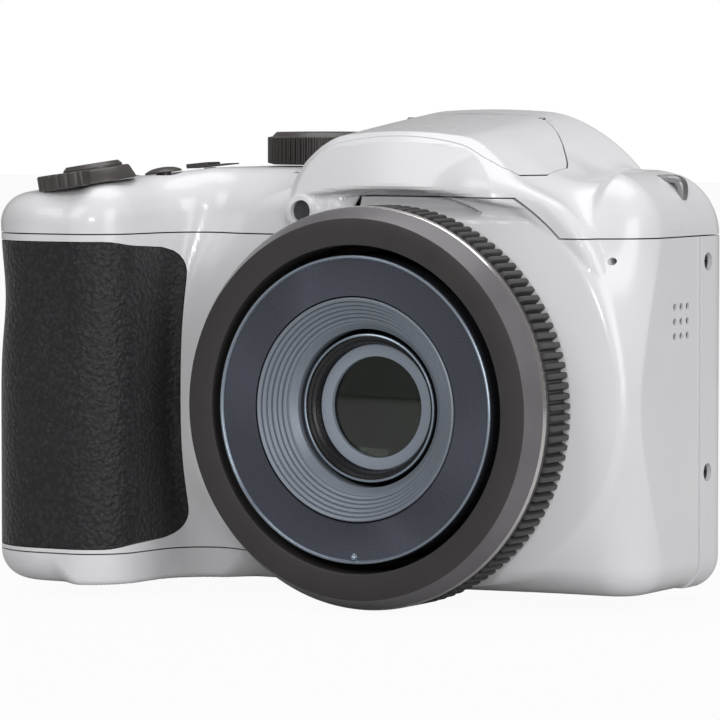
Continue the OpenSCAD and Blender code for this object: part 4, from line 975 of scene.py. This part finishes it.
def on_deck(name, at, parts):
    """One object from (points, faces) parts, set on the deck."""
    return joined(name, [(deck_points(at, points), faces) for points, faces in parts])


def make_controls():
    """Zoom lever with its grooved tab, low domed button and sliding switch, each set on the sloping deck."""
    ring = [(1.75, -5), (3.0, -5), (3.0, 0.2), (6.85, 0.2), (7.0, 0.35), (6.95, 0.65), (6.2, 2.3),
            (6.0, 2.52), (5.75, 2.6), (5.4, 2.6), (5.3, 2.45), (5.3, 0.7), (1.75, 0.7)]
    first, last = math.radians(200), math.radians(290)
    grooves, steps = 8, 6
    tab_r, root_r, groove = 9.5, 6.3, 0.42
    outer = []
    for i in range(grooves * steps + 1):
        a = first + (last - first) * i / (grooves * steps)
        r = tab_r - groove * max(0, math.cos(2 * math.pi * (i / steps - 0.5))) ** 2
        outer.append((r * math.cos(a), r * math.sin(a)))
    turns = [last + 0.12 - (last - first + 0.24) * i / 16 for i in range(17)]
    inner = [(root_r * math.cos(a), root_r * math.sin(a)) for a in turns]
    lever = on_deck("lever_ring", LEVER, [spun(ring)])
    dress(soften(lever, 30), "zoom_lever", "control_grey", [CONTROL], "zoom_lever")
    tab = on_deck("lever_tab", LEVER, [prism(outer + inner, 2, 0.15, 2.75)])
    eased(tab, 0.3)
    dress(soften(tab, 40), "zoom_lever", "control_grey", [CONTROL])
    dome = [(0.01, -4), (1.3, -4), (1.3, 0.1), (3.0, 0.1), (3.2, 0.25), (3.1, 0.42), (2.5, 0.72),
            (1.8, 0.95), (0.9, 1.08), (0.01, 1.12)]
    button = on_deck("drive_dome", DRIVE, [spun(dome)])
    dress(soften(button, 40), "drive_button", "control_grey", [CONTROL], "drive_button")
    plate = box((-4, -2.2, 0.34), (4, 2.2, 0.56))
    thumb = box((-4, -2.2, 0.5), (0.2, 2.2, 1.1))
    stem = box((-1.4, -0.8, -3.5), (0.2, 0.8, 0.2))
    switch = on_deck("power_slider", POWER, [plate, thumb, stem])
    eased(switch, 0.12)
    dress(soften(switch, 40), "power_switch", "control_grey", [CONTROL], "power_switch")


def eased(obj, width):
    """Rounds an object's sharp edges to a width in millimetres."""
    bevel = obj.modifiers.new("eased_edges", "BEVEL")
    bevel.width = width * MM
    bevel.segments = 3
    bevel.limit_method = "ANGLE"
    bevel.angle_limit = math.radians(40)


def make_bay_liner():
    """Liner on the floor of the flash bay."""
    half = [(16.2, 17.6), (17.6, 18.6), (19.4, 28.6), (19.2, 30.2), (13.2, 38.8), (11.6, 39.6)]
    outline = half + [(-x, y) for x, y in half[::-1]]
    liner = joined("bay_liner", [prism(outline, 2, 37.5, 37.93)])
    eased(liner, 0.08)
    dress(soften(liner, 40), "body", "black_plastic", [CONTROL])


def make_pin():
    """Small stud on the barrel's face, under the lens."""
    profile = [(0.02, -0.45), (0.25, -0.4), (0.42, -0.2), (0.5, 0.1), (0.62, 0.16), (0.62, 0.3), (0.02, 0.3)]
    n, k = 24, len(profile)
    points = [(r * math.cos(2 * math.pi * i / n), y, -24.0 + r * math.sin(2 * math.pi * i / n))
              for i in range(n) for r, y in profile]
    stud = soften(mesh_object("barrel_stud", points, ring_faces(n, k), flip=False), 40)
    dress(stud, "outer_barrel", "barrel_grey", [PALE_TURNED_METAL_AND_PAINTED_HIGHLIGHT])


# Materials of the nodes that show their own solids
FINISHES = {
    "fixed_barrel": BLACK, "guide_rods": STEEL, "zoom_group": BLACK, "image_sensor": SCREEN,
    "af_lamp": SMOKED, "microphone": BLACK, "speaker": BLACK, "shutter_button": CONTROL,
    "flash_hinge_pin": STEEL, "flash_window": CLEAR, "flash_reflector": STEEL, "flash_tube": CLEAR,
    "side_screws": SCREW, "base_screws": SCREW, "tripod_socket": STEEL, "battery_door": WHITE,
    "door_latch": BUTTON, "door_hinge_pin": STEEL, "lcd_window": SCREEN, "lcd_panel": BLACK,
    "four_way_pad": BUTTON, "ok_button": BUTTON, "record_button": RED, "flash_release": BUTTON,
    "menu_button": BUTTON, "delete_button": BUTTON, "port_cover": WHITE, "main_board": BOARD,
    "chassis": CHASSIS, "battery_pack": PACK, "memory_card": PACK, "flash_capacitor": BLACK,
    "zoom_motor": STEEL,
}
# Width of the eased edges, in millimetres, on the pieces that are handled
EASED = {
    "shutter_button": 0.2, "battery_door": 0.2, "door_latch": 0.2, "four_way_pad": 0.3, "ok_button": 0.3,
    "record_button": 0.3, "flash_release": 0.3, "menu_button": 0.3, "delete_button": 0.3,
    "port_cover": 0.3, "lcd_window": 0.3,
}


def finish_nodes():
    """Gives those nodes their materials and eases the edges of the handled ones."""
    for name, material in FINISHES.items():
        node = NODES[name]
        node.data.materials.clear()
        node.data.materials.append(material)
        if name in EASED:
            eased(node, EASED[name])


# Stage


def make_camera():
    """The photograph's view, worked out from the lens ring's ellipses."""
    azimuth = math.radians(29.115)
    elevation = math.radians(3.28)
    distance = 800
    photo_width = 720
    pixels_per_mm = 6.1665
    aside, above = 1.08, 8.1  # the middle of the picture, from the lens axis
    back = Vector((math.sin(azimuth) * math.cos(elevation), -math.cos(azimuth) * math.cos(elevation),
                   math.sin(elevation)))
    right = Vector((math.cos(azimuth), math.sin(azimuth), 0))
    up = back.cross(right)
    target = LENS + (aside * right + above * up) * MM
    data = bpy.data.cameras.new("camera")
    data.sensor_width = 36
    data.lens = pixels_per_mm * distance / photo_width * data.sensor_width
    camera = bpy.data.objects.new("camera", data)
    bpy.context.scene.collection.objects.link(camera)
    camera.location = target + back * distance * MM
    camera.rotation_mode = "QUATERNION"
    camera.rotation_quaternion = (-back).to_track_quat("-Z", "Y")
    data.clip_start = 0.01
    data.clip_end = 20
    bpy.context.scene.camera = camera


def area_light(name, place, aim, size, power):
    """A rectangular lamp at a place, turned to what it aims at; sizes in metres, power in watts."""
    data = bpy.data.lights.new(name, "AREA")
    data.shape = "RECTANGLE"
    data.size, data.size_y = size
    data.energy = power
    lamp = bpy.data.objects.new(name, data)
    bpy.context.scene.collection.objects.link(lamp)
    lamp.location = place
    lamp.rotation_mode = "QUATERNION"
    lamp.rotation_quaternion = (Vector(aim) - Vector(place)).to_track_quat("-Z", "Y")


def white_rays(tree):
    """1 for the rays that see the white surround: straight from the camera, or through glass."""
    path = add(tree, "ShaderNodeLightPath")
    return add(tree, "ShaderNodeMath", {"operation": "MAXIMUM"},
               {0: (path, "Is Camera Ray"), 1: (path, "Is Transmission Ray")})


def make_floor():
    """Pale floor that reads white from the camera and keeps a soft shadow under the camera."""
    mesh = bpy.data.meshes.new("floor")
    half = 3.0
    gap = 0.0002
    share_seen = 0.95
    low = CAD_BOX[0][2] - gap
    corners = [(-half, -half, low), (half, -half, low), (half, half, low), (-half, half, low)]
    mesh.from_pydata(corners, [], [(0, 1, 2, 3)])
    floor = bpy.data.objects.new("floor", mesh)
    bpy.context.scene.collection.objects.link(floor)
    material = bpy.data.materials.new("studio_floor")
    material.use_nodes = True
    tree = material.node_tree
    tree.nodes.clear()
    paper = add(tree, "ShaderNodeBsdfDiffuse", {"Color": linear("#C8C8C8")})
    glow = add(tree, "ShaderNodeEmission", {"Color": (1, 1, 1, 1), "Strength": 1.0})
    seen = add(tree, "ShaderNodeMath", {"operation": "MULTIPLY", 1: share_seen}, {0: (white_rays(tree), 0)})
    mix = add(tree, "ShaderNodeMixShader", {}, {0: (seen, 0), 1: (paper, 0), 2: (glow, 0)})
    add(tree, "ShaderNodeOutputMaterial", {}, {"Surface": (mix, 0)})
    mesh.materials.append(material)


def make_stage():
    """White surround and four lamps: three softboxes and a small flash beside the camera."""
    scene = bpy.context.scene
    scene.view_settings.view_transform = "Standard"
    world = bpy.data.worlds.new("studio")
    scene.world = world
    world.use_nodes = True
    tree = world.node_tree
    tree.nodes.clear()
    lit = add(tree, "ShaderNodeBackground", {"Color": (1, 1, 1, 1), "Strength": 0.2})
    seen = add(tree, "ShaderNodeBackground", {"Color": (1, 1, 1, 1), "Strength": 1.0})
    mix = add(tree, "ShaderNodeMixShader", {}, {0: (white_rays(tree), 0), 1: (lit, 0), 2: (seen, 0)})
    add(tree, "ShaderNodeOutputWorld", {}, {"Surface": (mix, 0)})
    area_light("key_softbox", (-0.35, -0.85, 0.75), (0, 0, 0.03), (0.5, 0.5), 2.5)
    area_light("side_softbox", (0.95, -0.45, 0.35), (0, 0, 0.03), (0.5, 0.7), 4.6)
    area_light("top_softbox", (0.0, 0.1, 0.9), (0, 0, 0.03), (0.8, 0.6), 4.0)
    area_light("flash_by_camera", (0.3, -0.74, 0.26), (0, 0, 0.04), (0.03, 0.03), 1.0)


make_camera()
make_covers()
make_lens()
make_glass()
make_pin()
make_lugs()
make_dial()
make_controls()
make_bay_liner()
finish_nodes()
make_floor()
make_stage()
